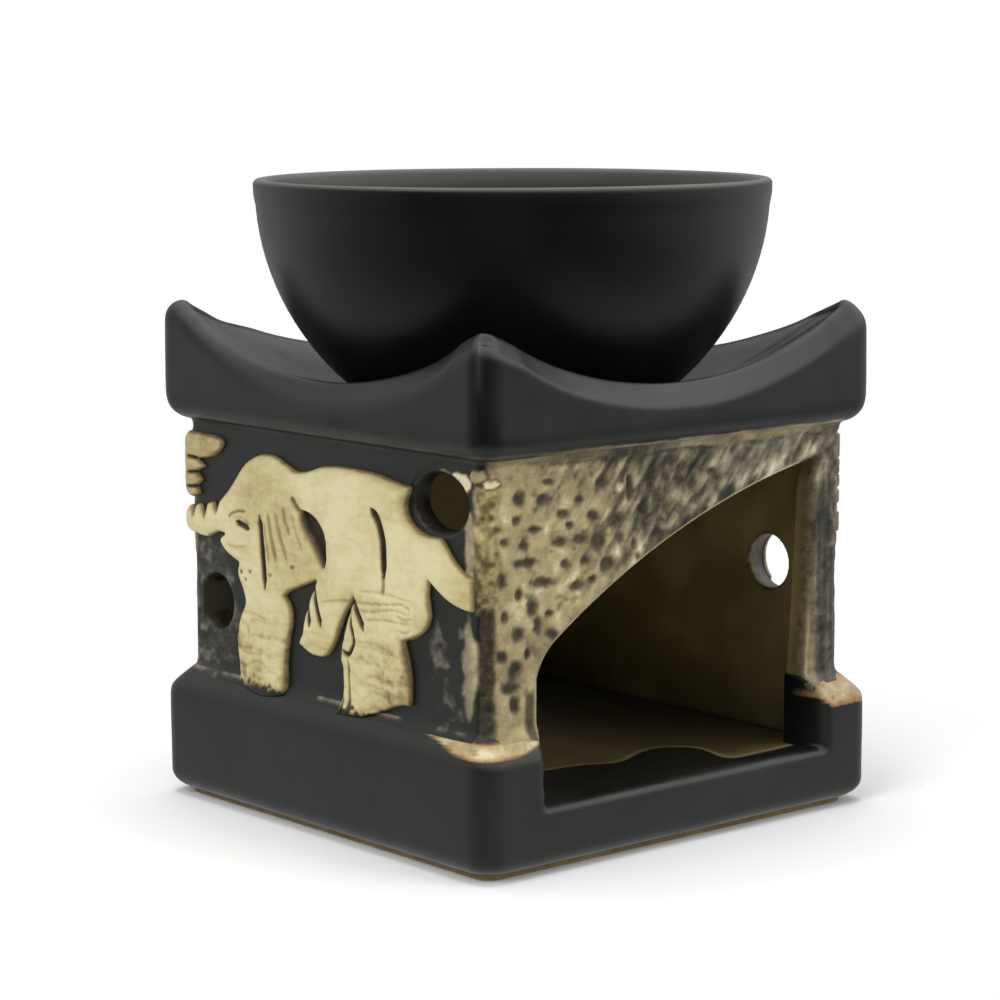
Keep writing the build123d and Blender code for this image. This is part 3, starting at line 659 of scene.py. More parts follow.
def make_wall(side, material):
    door = door_outline()
    wraps = side in ("front", "rear")
    end = 2 * CORNER_MID - INNER_HALF if wraps else INNER_HALF
    cell = 0.36

    def room(u, z):
        d = hole_room(side, u, z)
        return np.minimum(d, -polygon_room(u, z, door)) if side == "front" else d

    rows = np.concatenate([[23.4, 23.9, 24.1, 24.3, 24.6, 25.0, 25.4, 25.8],
                           np.arange(WALL_FOOT, 75.0, cell), [75.0, 75.25]])
    if wraps:
        bend = np.arange(41.25, 48.2, cell)
        half = np.concatenate([bend, [end - 0.25, end]])
        cols = np.concatenate([-half[::-1], np.linspace(-INNER_HALF, INNER_HALF, 229), half])
    else:
        cols = np.concatenate([[-end, -40.9, -40.6], np.linspace(-40.3, 40.3, 225), [40.6, 40.9, end]])
    points, faces = cut_grid(cols, rows, room)
    u, z = points.T
    d = room(u, z)
    lift, tone, grey = wall_relief(u + SIDE_NUMBER[side] * SIDE_LENGTH, z)
    clear = rise(d, 0, 1.6)
    edge_round, back_round = 1.1, 0.7
    out = lift * clear + wall_stance(z) - edge_round * (1 - shoulder(d, edge_round))
    if side == "front":
        out += 0.15 * bell(d, 1.3, 0.6)
    path, outward = wall_path(u)
    front = path + outward * out[:, None]
    front[:, 2] = z
    # the inner face, with the fillets of the hearth's corners on the left and right walls
    xi = np.interp(u, [-end, -INNER_HALF, INNER_HALF, end],
                   [-WALL_HALF, -INNER_HALF, INNER_HALF, WALL_HALF]) if wraps else u
    over = 0 * u if wraps else np.clip(np.abs(u) - (INNER_HALF - INNER_ROUND), 0.0, INNER_ROUND)
    depth = WALL_THICK + INNER_ROUND - np.sqrt(INNER_ROUND ** 2 - over ** 2)
    ripple = 0.08 * noise(stack(u, z, 7), 9, 91) * clear * (np.abs(u) < 37) * rise(z, 26.5, 30)
    sunk = 0.39 * fall(z, 24, 24.4) - 0.04 + back_round * (1 - shoulder(d, back_round))
    back = stack(xi, depth - WALL_HALF - sunk + ripple, z)
    last = np.abs(u) > end - 1e-6
    if wraps:
        back[last] = front[last]
    # a thin pale line where the glaze draws back from the arch's edge, and dark hole edges elsewhere as
    # painted shade on the holes' sides
    if side == "front":
        drawn = fall(d, 0.35, 0.85) * fall(u, 32, 34)
        tone = blend(blend(tone, 0.98, drawn), 0.26, fall(d, 0.3, 1.2) * rise(u, 33, 34))
        grey *= 1 - drawn
    else:
        tone = blend(tone, 0.1, fall(d, 0.1, 0.7))
    # the hearth's side is brown with painted shade, darker to the left and rear, painted shade black round
    # the holes, and a painted highlight round one
    level = hearth_brown_and_shade(side, u, z) * np.where(hole_room(side, u, z) < 0.3, 0.12, 1.0)
    # a painted highlight on the lit side wall of the right wall's lower hole
    hole_highlight_ring = 0 * u
    if side == "right":
        hole_highlight_ring = 0.5 * fall(ellipse_room(u, z, *RIGHT_LOWER_HOLE), 0.1, 0.45)
    values = {"tone": (tone, hole_highlight_ring), "grey": (grey, 0.3),
              "inner": (0 * u, np.where(hole_highlight_ring > 0, 0.0, level))}

    # the seam columns take the normals of the surface that runs on past them
    def seam_point(du, dz):
        s, h = u[last] + du, z[last] + dz
        path, outward = wall_path(s)
        lift = wall_relief(s + SIDE_NUMBER[side] * SIDE_LENGTH, h)[0]
        point = path + outward * (lift + wall_stance(h))[:, None]
        point[:, 2] = h
        return point

    step = 0.05
    across = np.cross(seam_point(step, 0) - seam_point(-step, 0), seam_point(0, step) - seam_point(0, -step))
    normals = np.zeros(front.shape)
    normals[last] = across / np.linalg.norm(across, axis=1)[:, None]
    make_sheet(f"{side}_wall", "glazed", material,
               front, back, faces, values, TURNS[side], normals)


# Carvings
def carving_outline(stretches, wrap):
    """The closed outline in millimetres, its left end moved round the corner."""
    out = []
    for stretch, following in zip(stretches, stretches[1:] + stretches[:1]):
        shares = [(-wrap if x == CARVING_LEFT else x, y) for x, y in stretch + following[:1]]
        line = [(x * WALL_HALF, WALL_FOOT + y * (WALL_TOP - WALL_FOOT)) for x, y in shares]
        out.extend(smooth_line(line, 5)[:-1].tolist())
    return out


def carve_elephant(u, z, d, world, height, tone, rough, speck):
    """Height and tone of the elephant, and how dark its strokes are."""
    groove, dark = stroke_field(u, z, STROKES)
    cut = rise(polygon_room(u, z, smooth_loop(EAR_CUT)) + 0.2 * rough, -0.35, 0.35)
    leg = rise(-z, -43, -37)
    front_leg = leg * fall(u, -13, -9)
    hind_leg = leg * rise(u, 8, 12)
    wrinkle = np.sin(z * 2.1 + 2.2 * rough + 0.5 * np.sin(u * 0.7))
    height += 0.36 * rise(polygon_room(u, z, smooth_loop(EAR)), -1, 0.5)
    height += 0.05 * leg * wrinkle - groove - 1.45 * cut
    # brown settles in the hollows of the legs, and ochre on the head, the ear's root and the rump
    blotch = rise(fractal(world * np.array([1, 1, 0.7]), 2.1, 49, 3), -0.15, 0.75)
    stain = 0.22 * rise(speck + 0.5 * rough, 0.15, 0.95) + 0.16 * blotch
    tone -= 0.1 * rise(-wrinkle, 0.3, 1) * leg + 0.05 * (front_leg + hind_leg)
    tone -= stain * front_leg * (0.5 + 0.5 * fall(u, -24, -17))
    tone -= stain * hind_leg * (0.35 + 0.65 * rise(u, 14, 20)) + 0.1 * hind_leg * rise(u, 12, 20)
    # the legs darker and mottled along their edges
    tone -= 0.26 * fall(d, 0.2, 1.6) * (hind_leg + 0.6 * front_leg) * rise(rough, -0.5, 0.4)
    tone -= 0.2 * fall(d, 0.3, 2.2) * rise(u, 4, 12) * rise(z, 58, 62)
    head = patch(u, z, (-16, 62.5, 9, 4.5), -4, 3)
    brow = patch(u, z, (-24.5, 57.5, 6, 3.5), -2.5, 2)
    rump = patch(u, z, (17, 65.5, 10, 2.5), -3, 2)
    tone -= (0.17 * head + 0.08 * brow + 0.07 * rump) * (0.65 + 0.35 * rough)
    tone += 0.12 * patch(u, z, (6, 56, 7, 6), -4, 4)
    tone -= 0.1 * patch(u, z, (-9, 52, 8, 7), -4, 4)
    tone -= 0.09 * patch(u, z, (17.5, 45.5, 11, 3.4), -2, 2) * rise(speck, -0.2, 0.9)
    tone -= 0.16 * fall(u, -39, -33) * rise(z, 50, 53) * rise(rough, -0.6, 0.6)
    return height, tone, np.maximum(dark, cut)


def make_carving(side, kind, material):
    elephant = kind == "elephant"
    outline = carving_outline(ELEPHANT_SHARES if elephant else BRANCH_SHARES, WRAP_SHARES[side])
    cell = 0.27

    def room(u, z):
        d = np.minimum(polygon_room(u, z, outline), hole_room(side, u, z) - 0.25)
        for nick in NICKS if elephant else []:
            d = np.minimum(d, -polygon_room(u, z, nick))
        return d

    low, high = np.min(outline, 0) - 1.0, np.max(outline, 0) + 1.0 + cell
    points, faces = cut_grid(*(np.arange(low[k], high[k], cell) for k in (0, 1)), room)
    u, z = points.T
    d = room(u, z)
    path, outward = wall_path(u)
    world = turned(stack(path[:, 0], path[:, 1], z), TURNS[side])
    rough = fractal(world, 4, 43, 3)
    speck = fractal(world, 1.3, 45, 2)
    streak = fractal(world * np.array([0.25, 0.25, 1.0]), 0.9, 47, 2)
    height = 0.2 + 1.3 * shoulder(d, 1.9) + 0.4 * (1 - np.exp(-np.maximum(d, 0) / 4.5))
    height += 0.07 * rough * rise(d, 0.2, 2) + 0.03 * streak
    tone = 0.9 + 0.08 * rough + 0.04 * streak + 0.11 * fractal(world, 11, 53, 2)
    if elephant:
        height, tone, dark = carve_elephant(u, z, d, world, height, tone, rough, speck)
    else:
        groove, dark = stroke_field(u, z, BRANCH_STROKES)
        height -= 0.16 * fall(np.abs(np.sin((u + 1.5 * z) * 0.9)), 0, 0.25) + groove
        tone -= 0.14 + 0.12 * rise(rough, -0.4, 0.6)
    height = np.maximum(height, 0.14) * (0.4 + 0.6 * rise(z, 23.8, 26.6))
    front, back = (path + outward * (foot_flare(z) + out)[:, None] for out in (height, -0.6))
    front[:, 2] = back[:, 2] = z
    # the ivory thins to brown at the outline, and is ragged at its foot
    fringe = 0.12 + 0.3 * rise(rough, -0.2, 0.8)
    tone = blend(tone, 0.3, fall(d, fringe * 0.3, fringe + 0.35) * 0.75)
    tone = blend(tone, 0.05, np.clip(dark * 1.02, 0.0, 1.0))
    tone = blend(-0.05, tone, rise(z + 0.9 * speck + 0.5 * rough, 24.6, 26.3))
    make_sheet(f"{side}_{kind}", "carving", material, front, back, faces,
               {"tone": (tone, -0.1)}, TURNS[side])


# Plinth and roof are rings of columns round a square
RING_STRAIGHT = 40.0


def ring_point(g, half, radius):
    """Point and outward direction on a square with round corners, from the way round it."""
    side = np.floor((g + CORNER_MID) / SIDE_LENGTH)
    s = g - side * SIDE_LENGTH
    a, sign = np.abs(s), np.where(s < 0, -1.0, 1.0)
    share = np.clip((a - RING_STRAIGHT) / (CORNER_MID - RING_STRAIGHT), 0.0, 1.0)
    # the first part of the way past RING_STRAIGHT runs straight on, the rest round the corner
    split = 0.40
    angle = np.clip((share - split) / (1 - split), 0.0, 1.0) * math.pi / 4
    straight = half - radius
    x = RING_STRAIGHT + np.clip(share / split, 0.0, 1.0) * (straight - RING_STRAIGHT)
    x = sign * (np.where(a <= RING_STRAIGHT, a, x) + radius * np.sin(angle))
    point = turned(stack(x, -(straight + radius * np.cos(angle)), 0), 90.0 * side)
    outward = turned(stack(sign * np.sin(angle), -np.cos(angle), 0), 90.0 * side)
    return point[..., 0], point[..., 1], outward[..., 0], outward[..., 1]


def ring_columns():
    straight = np.linspace(-RING_STRAIGHT, RING_STRAIGHT, 101)
    corner = np.linspace(RING_STRAIGHT, CORNER_MID, 13)[1:]
    one = np.concatenate([-corner[::-1], straight, corner[:-1]])
    return np.concatenate([one + k * SIDE_LENGTH for k in (-1, 0, 1, 2)] + [[2.5 * SIDE_LENGTH]])


def plinth_offset(z):
    """How far the plinth's side stands in, over its lower round and under its shoulder."""
    low = np.clip(PLINTH_FOOT + PLINTH_FOOT_ROUND - z, 0.0, PLINTH_FOOT_ROUND)
    lower = PLINTH_FOOT_ROUND - np.sqrt(PLINTH_FOOT_ROUND ** 2 - low ** 2)
    return -lower - softplus((z - SIDE_TOP) * WALL_THICK / 4.4, 0.55)


def notch_sides(z):
    out = np.clip(WALL_THICK + plinth_offset(z), 0.0, WALL_THICK) / WALL_THICK
    return DOOR_LEFT - NOTCH_FLARE_LEFT * out, DOOR_RIGHT + NOTCH_FLARE_RIGHT * out


# Cream left on the plinth's shoulder: which corner, how far before and after it, from which
# height to which, how pale, and how much of it dark spots cover
SHOULDER_CREAM = [(-0.5, 16.5, 14.0, 22.3, 25.0, 0.97, 0.35), (0.5, 9.5, 4.5, 20.2, 25.9, 0.8, 0.95),
                  (1.5, 12.0, 9.0, 22.0, 24.6, 0.8, 0.35)]


def make_plinth(material):
    def room(g, z):
        left, right = notch_sides(z)
        dx, dz = np.maximum(left - g, g - right), FLOOR_TOP - z
        outside = np.where((dx > 0) & (dz > 0), np.hypot(dx, dz), np.maximum(dx, dz))
        return np.minimum(outside, 30.0)

    rows = np.concatenate([[PLINTH_FOOT, 1.26, 1.45, 1.8, 2.3, 2.9, 3.6, 4.4], np.arange(5.2, 20.4, 0.65),
                           np.arange(20.6, 26.0, 0.4), [WALL_FOOT]])
    points, faces = cut_grid(ring_columns(), rows, room)
    g, z = points.T
    d = room(g, z)
    off = plinth_offset(z)
    radius = PLINTH_ROUND + np.where(z < 5, 0.0, off) * 2.0 / WALL_THICK
    x, y, nx, ny = ring_point(g, PLINTH_HALF + off, radius)
    base = stack(x, y, z)
    out = 0.16 * fractal(base, 22, 5, 2) + 0.04 * noise(base, 5, 8)
    out = out * rise(z, PLINTH_FOOT, 4) * fall(z, 24.6, 26) - 0.12
    out += 0.35 * np.sin(g * 0.16 + 0.6) * np.exp(-np.maximum(d, 0) / 5.0) * (z < 16) * (np.abs(g) < 44)
    out -= 1.6 * (1 - shoulder(d, 1.6)) * fall(z, 24, 26)
    front = stack(*np.clip([x + nx * out, y + ny * out], -BOX_LIMIT, BOX_LIMIT), z)
    # the inner side, drawn to the doorway's edges beside the notch
    ix, iy, _, _ = ring_point(g, INNER_HALF, INNER_ROUND)
    reach, drawn = 38.5, 5.0
    for way, edge, notch in zip((-g, g), (DOOR_LEFT, DOOR_RIGHT), notch_sides(z)):
        beside = (way > 0) & (way < reach)
        ix += beside * (edge - notch) * np.clip(1 - np.abs(g - notch) / drawn, 0, 1)
    # cream on the shoulder at the corners, orange where it thins out
    rough = fractal(base, 4, 83, 3)
    fine = rise(fractal(base, 1.3, 87, 2), 0.15, 0.75)
    tone, warm, brown = np.full(len(g), -0.06), np.zeros(len(g)), np.zeros(len(g))
    for corner, before, after, low, high, pale, spotted in SHOULDER_CREAM:
        c = way_from(g, corner)
        reach = np.minimum(c + before, after - c)
        far = rise(np.abs(c), 2, 14) * (corner != 0.5)
        half = (high - low) / 2 * (1 - 0.75 * far) * rise(reach, -1, 4) + 0.18 * rough
        away = np.abs(z - ((low + high) / 2 + 0.2 * rough + 0.9 * far))
        inside = rise(half - away, -0.15, 0.45) * rise(reach, -1, 2)
        shade = pale - 0.22 * rise(rough, -0.3, 0.8) - 0.5 * spotted * fine
        shade -= 0.3 * rise(away / (half + 0.3), 0.45, 1)
        tone = np.maximum(tone, blend(-0.06, shade, inside))
        warm = np.maximum(warm, inside * rise(away / (half + 0.3), 0.15, 0.9))
    # the plinth's inner side takes the hearth's brown with its painted shade
    for side in CARVED:
        way = on_side(g, side)
        brown = np.where(np.abs(way) <= CORNER_MID, hearth_brown_and_shade(side, way, z), brown)
    # a painted highlight along the shoulder's crest
    crest = between(z, 25.2, 26.3, 0.7) * rise(fractal(base, 9, 89, 2), -0.6, 0.6)
    values = {"tone": (tone, -0.06), "painted_highlight": (0.4 * crest, 0.0), "warm": (warm, 0.0),
              "inner": (0 * g, brown * rise(z, 12.4, 13.4))}
    make_sheet("base_plinth", "glazed", material, front, stack(ix, iy, z), faces, values)


# The roof's round dish: a circle through the seat, a crest's middle and a corner tip
DISH = circle_through((SEAT_RADIUS, SEAT_TOP), (CREST_HALF, 86.0), (CREST_HALF * math.sqrt(2), 98.0))


def dish_height(r):
    middle, centre_height, radius = DISH
    return centre_height - np.sqrt(radius ** 2 - (r - middle) ** 2)


def smoothed_profile(points, width, samples):
    """Even points along a line, rounded over a width as the glaze rounds it, as (across, up)."""
    fine = 240
    way = np.concatenate([[0], np.cumsum(np.hypot(*np.diff(points, axis=0).T))])
    even = np.linspace(0, way[-1], fine)
    kernel = np.exp(-0.5 * (np.arange(-30, 31) * even[1] / width) ** 2)
    out = []
    for v in points.T:
        v = np.interp(even, way, v)
        padded = np.concatenate([2 * v[0] - v[30:0:-1], v, 2 * v[-1] - v[-2:-32:-1]])
        smooth = np.convolve(padded, kernel / kernel.sum(), "valid")
        out.append(np.interp(np.linspace(0, fine - 1, samples), np.arange(fine), smooth))
    return out


def make_roof(material):
    g = ring_columns()[:-1]
    n = len(g)
    left, front, right, rear = (on_side(g, side) for side in ("left", "front", "right", "rear"))
    inner_half = CREST_HALF - 0.8
    crest = np.stack(ring_point(g, inner_half, 2.2)[:2], 1)
    angle = np.arctan2(crest[:, 1], crest[:, 0])
    circle = np.stack([np.cos(angle), np.sin(angle)], 1)
    # the hand-made crests stand a little higher on the right and at the rear
    higher = 1.9 * rise(right, -47, -36) * fall(right, -26, 8)
    higher += 1.1 * rise(rear, -5, 18) * fall(rear, 28, 40)
    # the dish, from the seat's edge out to just inside the crest
    dish_rows, samples, hollow_rows = 30, 64, 10
    outer_rows = dish_rows + samples - 1
    rows = []
    for t in np.linspace(0.0, 1.0, dish_rows):
        x, y = ((1 - t) * SEAT_RADIUS * circle + t * crest).T
        z = dish_height(np.hypot(x, y))
        lump = 0.1 * noise(stack(x, y, z), 14, 3) * rise(t, 0.15, 0.5)
        rows.append(stack(x, y, z + lump + higher * rise(t, 0.25, 1)))
    # the crest, the bevel, the upright side and the lower round, smoothed as the glaze smooths them
    on_left = rise(left, -CORNER_MID - 12, -CORNER_MID) * fall(left, 38, 50)
    on_right = rise(front, -CORNER_MID, -30) * fall(front, CORNER_MID, CORNER_MID + 12)
    left_tip = rise(left, -CORNER_MID - 10, -CORNER_MID) * fall(left, -CORNER_MID, 0)
    right_tip = rise(front, 34, CORNER_MID) * fall(front, CORNER_MID, CORNER_MID + 10)
    narrow = 0.85 * left_tip + on_right * (0.22 + 0.28 * rise(front, 2, 36))
    narrow = np.clip(narrow + 0.36 * fall(np.abs(g + CORNER_MID), 0, 16), 0, 0.9)
    soften = 0.42 + 0.85 * on_left + 0.9 * right_tip
    corner_way = np.abs(np.abs((g / SIDE_LENGTH) % 1.0 - 0.5)) * SIDE_LENGTH
    top = dish_height(np.hypot(*crest.T) * CREST_HALF / inner_half) + 0.25 + higher + 0.15 * on_left
    top += (0.15 + 0.75 * soften) * fall(corner_way, 0, 9)
    top += 0.45 * rise(left, 0, 20) * fall(left, CORNER_MID - 1, CORNER_MID + 5)
    lower = [(ROOF_HALF - ROOF_ROUND * (1 - math.sin(a)), ROOF_SIDE_FOOT - ROOF_ROUND * math.cos(a))
             for a in np.radians([75, 60, 45, 30, 15, 0])]
    bevel_width, bevel_drop = 2.6, 3.4
    profiles = []
    for wide, inward, start, peak, width in zip(1 - narrow, 0.9 * right_tip, rows[-1][:, 2], top, soften):
        line = [(inner_half, start), (CREST_HALF - 0.5 * inward, peak + 0.5 * inward),
                (CREST_HALF + bevel_width * (1 - wide), peak - 0.4 * (1 - wide)),
                (ROOF_HALF, peak - 1.8 - bevel_drop * wide), (ROOF_HALF, ROOF_SIDE_FOOT)]
        profiles.append(smoothed_profile(np.array(line + lower), width, samples))
    for k, (half, z) in enumerate(np.transpose(profiles, (2, 1, 0))[1:], 1):
        upper = 2.2 + 2.8 * np.clip((half - 45.6) / 4.4, 0, 1)
        under = 5.0 - 2.0 * np.clip((ROOF_HALF - half) / ROOF_ROUND, 0, 1)
        x, y, nx, ny = ring_point(g, half, np.where(z > ROOF_SIDE_FOOT, upper, under))
        p = stack(x, y, z)
        wave = 0.22 * fractal(p, 24, 17, 2) + 0.04 * noise(p, 5, 19) - 0.15
        wave *= rise(k / samples, 0, 0.12) * fall(k / samples, 0.88, 1)
        rows.append(p + stack(nx, ny, 0.3) * wave[:, None])
    # the underside, the hollow over the hearth and the bowl's seat
    ix, iy, _, _ = ring_point(g, INNER_HALF, INNER_ROUND)
    rows.append(stack(ix, iy, WALL_TOP))
    for t in np.linspace(0.0, 1.0, hollow_rows):
        x, y = ((1 - t) * np.stack([ix, iy], 1) + t * SEAT_HOLE * circle).T
        rows.append(stack(x, y, dish_height(np.maximum(np.hypot(x, y), SEAT_RADIUS)) - ROOF_THICK))
    for r in (SEAT_HOLE, 27.8, 28.3, 28.8):
        z = BOWL_CENTRE - math.sqrt((BOWL_RADIUS + 0.01) ** 2 - r ** 2)
        rows.append(stack(*(r * circle).T, z))
    count = len(rows)
    row = np.repeat(np.arange(count), n)
    verts = np.concatenate(rows)
    # the chip and the mould line at the front corner's tip, and a pinhole in the dish
    chip = np.linalg.norm(verts - np.array([-46.3, -46.3, 97.4]), axis=1)
    verts[:, 2] -= 0.9 * bell(chip, 0, 1.6) + 0.35 * bell(chip, 0, 3.5)
    across = (verts[:, 0] - verts[:, 1]) / math.sqrt(2)
    seam = bell(across, -0.9, 0.4) * (verts[:, :2].max(1) < -44) * rise(verts[:, 2], 78, 82)
    proud = (0.18 + 0.1 * rise(verts[:, 2], 86, 92)) * seam / math.sqrt(2)
    verts[:, :2] = np.clip(verts[:, :2] - proud[:, None], -BOX_LIMIT, BOX_LIMIT)
    pinhole = np.hypot(verts[:, 0] + 37.0, verts[:, 1] - 4.0)
    verts[:, 2] -= 0.5 * bell(pinhole, 0, 0.55) * (verts[:, 2] > ROOF_SIDE_FOOT) * (row <= dish_rows)
    faces = [[i * n + j, (i + 1) % count * n + j, (i + 1) % count * n + (j + 1) % n, i * n + (j + 1) % n]
             for i in range(count) for j in range(n)]
    # the brown band under the front, and painted highlights along the ends of the crest, the mould line and
    # the lower edge
    height = verts[:, 2]
    rough = fractal(verts, 5, 29, 3)
    s = np.tile(front, count)
    strip = rise(s, -40, -30) * fall(s, 40, 46) * (height < 76.8) * (np.hypot(*verts[:, :2].T) > 45)
    band = rise(76.25 - height + 0.3 * rough, -0.2, 0.6) * strip
    tone = blend(-0.06, 0.58 + 0.08 * rough - 0.26 * fall(s, -32, -8), band)
    ends = between(left, -45, -10, 12) + 0.9 * between(front, 28, 45, 9)
    ends += 0.8 * between(rear, 38, 52, 5) + 0.8 * between(right, -52, -38, 5)
    under_edge_highlight = bell(height, 76.1, 0.3) * (row > dish_rows + 1) * (row <= outer_rows)
    # painted highlights in light grey along these lines
    roof_highlight_lines = 0.9 * bell(row, dish_rows + 1.3, 2) * np.tile(ends, count) + 0.85 * under_edge_highlight * (1 - strip)
    roof_highlight_lines += 0.3 * seam * rise(height, 84, 92)
    attributes = {"tone": tone, "grey": 0.45 + 0 * tone, "inner": row > outer_rows,
                  "painted_highlight": np.clip(roof_highlight_lines * (0.8 + 0.4 * rough), 0.0, 1.0)}
    make_piece("roof", "glazed", "burner", material, verts, faces, attributes)


# Bowl, floor and tealight
def make_bowl(material):
    def on_bowl(radius, degrees):
        a = math.radians(degrees)
        return radius * math.cos(a), BOWL_CENTRE - radius * math.sin(a)

    foot_radius, rim_radius, flare_drop = 15.0, 50.15, 3.5
    flare = math.degrees(math.asin(flare_drop / BOWL_RADIUS))
    foot = math.degrees(math.acos(foot_radius / BOWL_RADIUS))
    bottom = on_bowl(BOWL_RADIUS, foot)[1]
    rim = BOWL_CENTRE + 1.6
    profile = [(r, bottom + 0.35 * (1 - (r / 13.4) ** 8)) for r in (0, 3, 6, 9, 12)]
    profile += [(13.6, bottom), (14.4, bottom + 0.04), (foot_radius, bottom + 0.22)]
    profile += [on_bowl(BOWL_RADIUS - 0.02, a) for a in np.linspace(foot - 0.8, flare, 60)]
    r, h = profile[-1]
    profile += [(r + (rim_radius - r) * t * (2 - t), h + (rim - 1.2 - h) * t) for t in (0.25, 0.5, 0.75)]
    profile += [(50.12, rim - 1.15), (50.08, rim - 0.75), (49.86, rim - 0.34), (49.45, rim - 0.08),
                (48.9, rim), (48.3, rim - 0.1), (47.75, rim - 0.42), (47.3, rim - 0.95)]
    inner, floor = BOWL_RADIUS - BOWL_WALL, bottom + BOWL_WALL
    low = math.degrees(math.asin((BOWL_CENTRE - floor - 0.6) / inner))
    profile += [on_bowl(inner, a) for a in np.linspace(flare - 1.5, low, 56)]
    r, h = profile[-1]
    profile += [(r * t, floor + (h - floor) * t ** 3) for t in (0.85, 0.7, 0.5, 0.3, 0.12, 0.0)]

    def wobble(r, h, a):
        p = stack(r * np.cos(a), r * np.sin(a), h)
        out = 0.018 * np.sin(h * 2.6 + 0.7 * np.sin(a)) + 0.09 * noise(p, 30, 51) - 0.09
        up = 0.05 * noise(p, 26, 53) * rise(h, 110, 121) - 0.05 * (h > 120)
        return r + out * rise(h, 84, 92), h + up

    verts, faces = lathe(profile, 224, wobble)
    height = verts[:, 2]
    shell = np.sqrt(verts[:, 0] ** 2 + verts[:, 1] ** 2 + np.minimum(height - BOWL_CENTRE, 0.0) ** 2)
    # painted highlight on the rim, and a painted reflection inside that is lighter toward the top
    inside = rise(BOWL_RADIUS - shell, 1.4, 2.2) * (0.16 + 0.62 * rise(height, 104, rim - 1))
    painted_highlight = np.maximum(rise(height, rim - 0.75, rim - 0.25), inside)
    make_piece("oil_bowl", "glazed", "bowl", material, verts, faces, {"painted_highlight": painted_highlight})


# Edge of the dark glaze that pooled on the floor
GLAZE_POOL = [(-60.0, -26.0), (-41.0, -26.0), (-25.0, -27.5), (-10.0, -28.5), (-3.0, -31.5), (3.0, -30.5),
              (8.0, -28.5), (13.0, -28.5), (17.0, -32.0), (17.5, -36.0), (16.2, -41.5), (17.0, -43.9),
              (24.0, -44.4), (34.0, -43.6), (38.0, -41.5), (42.0, -38.5), (60.0, -38.5)]


def make_floor_slab(material):
    """The hearth floor, with a tongue that runs out through the notch."""
    tongue_end = -46.3
    xs = np.linspace(-INNER_HALF, INNER_HALF, 118)
    ys = np.concatenate([np.linspace(tongue_end, -41.3, 9), xs])

    def room(x, y):
        k = INNER_HALF - INNER_ROUND
        square = INNER_ROUND + 1e-3 - np.hypot(np.maximum(np.abs(x) - k, 0.0), np.maximum(np.abs(y) - k, 0.0))
        tongue = [x - DOOR_LEFT - 0.2, DOOR_RIGHT - 0.3 - x, y - tongue_end + 1e-3, -30.0 - y]
        return np.maximum(square, np.minimum.reduce(tongue))

    points, faces = cut_grid(xs, ys, room)
    x, y = points.T
    rough = fractal(stack(x, y, 0), 12, 101, 2)
    pool = smooth_line(GLAZE_POOL, 4).tolist() + [(60.0, -60.0), (-60.0, -60.0)]
    pool = polygon_room(x, y, pool) + 0.5 * rough
    standing = rise(np.hypot(x - TEALIGHT[0], y - TEALIGHT[1]), 19, 24)
    away = rise(INNER_HALF - np.maximum(np.abs(x), y), 0, 1.5)
    z = FLOOR_TOP - 0.05 + standing * away * (0.08 * rough + 0.16 * rise(pool, -0.6, 1.4) + 0.02)
    z = np.where(y < -40.5, FLOOR_TOP + 0.09 * rise(y, tongue_end, -43.5) - 0.03, z)
    back = stack(x, y, FLOOR_TOP - np.where(y < -INNER_HALF, 0.6, 4.0))
    # painted shade: the floor darker toward the front right
    dim = 0.8 * rise(x, -8, 24) * rise(y, -44, -36)
    make_sheet("hearth_floor", "glazed", material, stack(x, y, z), back, faces,
               {"pool": (pool, -5.0), "dim": (dim, dim)})


def make_tealight(cup_material, wax_material, wick_material):
    def turned_piece(node, look, material, profile, count, wobble):
        verts, faces = lathe(profile, count, wobble)
        make_piece(node, look, "tealight", material, verts + np.array(TEALIGHT), faces)

    def flutes(r, h, a):
        wall = rise(h, 1.5, 3.5) * fall(h, 12.6, 14) * (r > 18)
        return r - 0.1 * wall * (0.5 + 0.5 * np.cos(a * 60)), h

    def pour(r, h, a):
        return r, h + 0.05 * noise(stack(r * np.cos(a), r * np.sin(a), h), 5, 121) * (h > 13)

    def braid(r, h, a):
        twist = np.maximum(np.sin(2 * a + h * 3.6), np.sin(2 * a - h * 3.6 + 1.0))
        return r + 0.035 * twist * (r > 0.4), h

    cup = [(r, 0.25) for r in (0, 6, 11, 14)] + [(15.2, 0.1), (16.2, 0.0), (17.2, 0.02), (17.9, 0.22)]
    cup += [(18.35, 0.7), (18.45, 1.4)] + [(18.45, h) for h in np.linspace(2.2, 14.0, 22)]
    cup += [(18.55, 14.5), (18.85, 14.72), (19.0, 15.02), (18.93, 15.32), (18.68, 15.48), (18.4, 15.44)]
    cup += [(18.22, 15.2), (18.2, 14.8)] + [(18.2, h) for h in np.linspace(14.2, 1.4, 20)]
    cup += [(18.05, 0.8), (17.6, 0.42), (16.6, 0.34)] + [(r, 0.42) for r in (14, 8, 3, 0)]
    wax = [(r, 0.46) for r in (0, 6, 12, 16)] + [(17.3, 0.6), (17.95, 1.3)]
    wax += [(18.04, h) for h in (3, 6, 9, 12, 13.2)] + [(18.0, 13.75), (17.85, 13.72), (17.5, 13.52)]
    wax += [(17.0, 13.4), (15.5, 13.3), (12.0, 13.24), (8.0, 13.22), (5.0, 13.2), (3.2, 13.14)]
    wax += [(2.0, 13.02), (1.2, 13.06), (0.75, 13.16), (0.0, 13.2)]
    wick = [(0.0, 0.9)] + [(0.62, h) for h in np.linspace(1.0, 21.3, 120)]
    wick += [(0.5, 21.45), (0.3, 21.5), (0.0, 21.5)]
    turned_piece("tealight_cup", "pressed", cup_material, cup, 480, flutes)
    turned_piece("tealight_wax", "poured", wax_material, wax, 160, pour)
    turned_piece("tealight_wick", "braid", wick_material, wick, 36, braid)


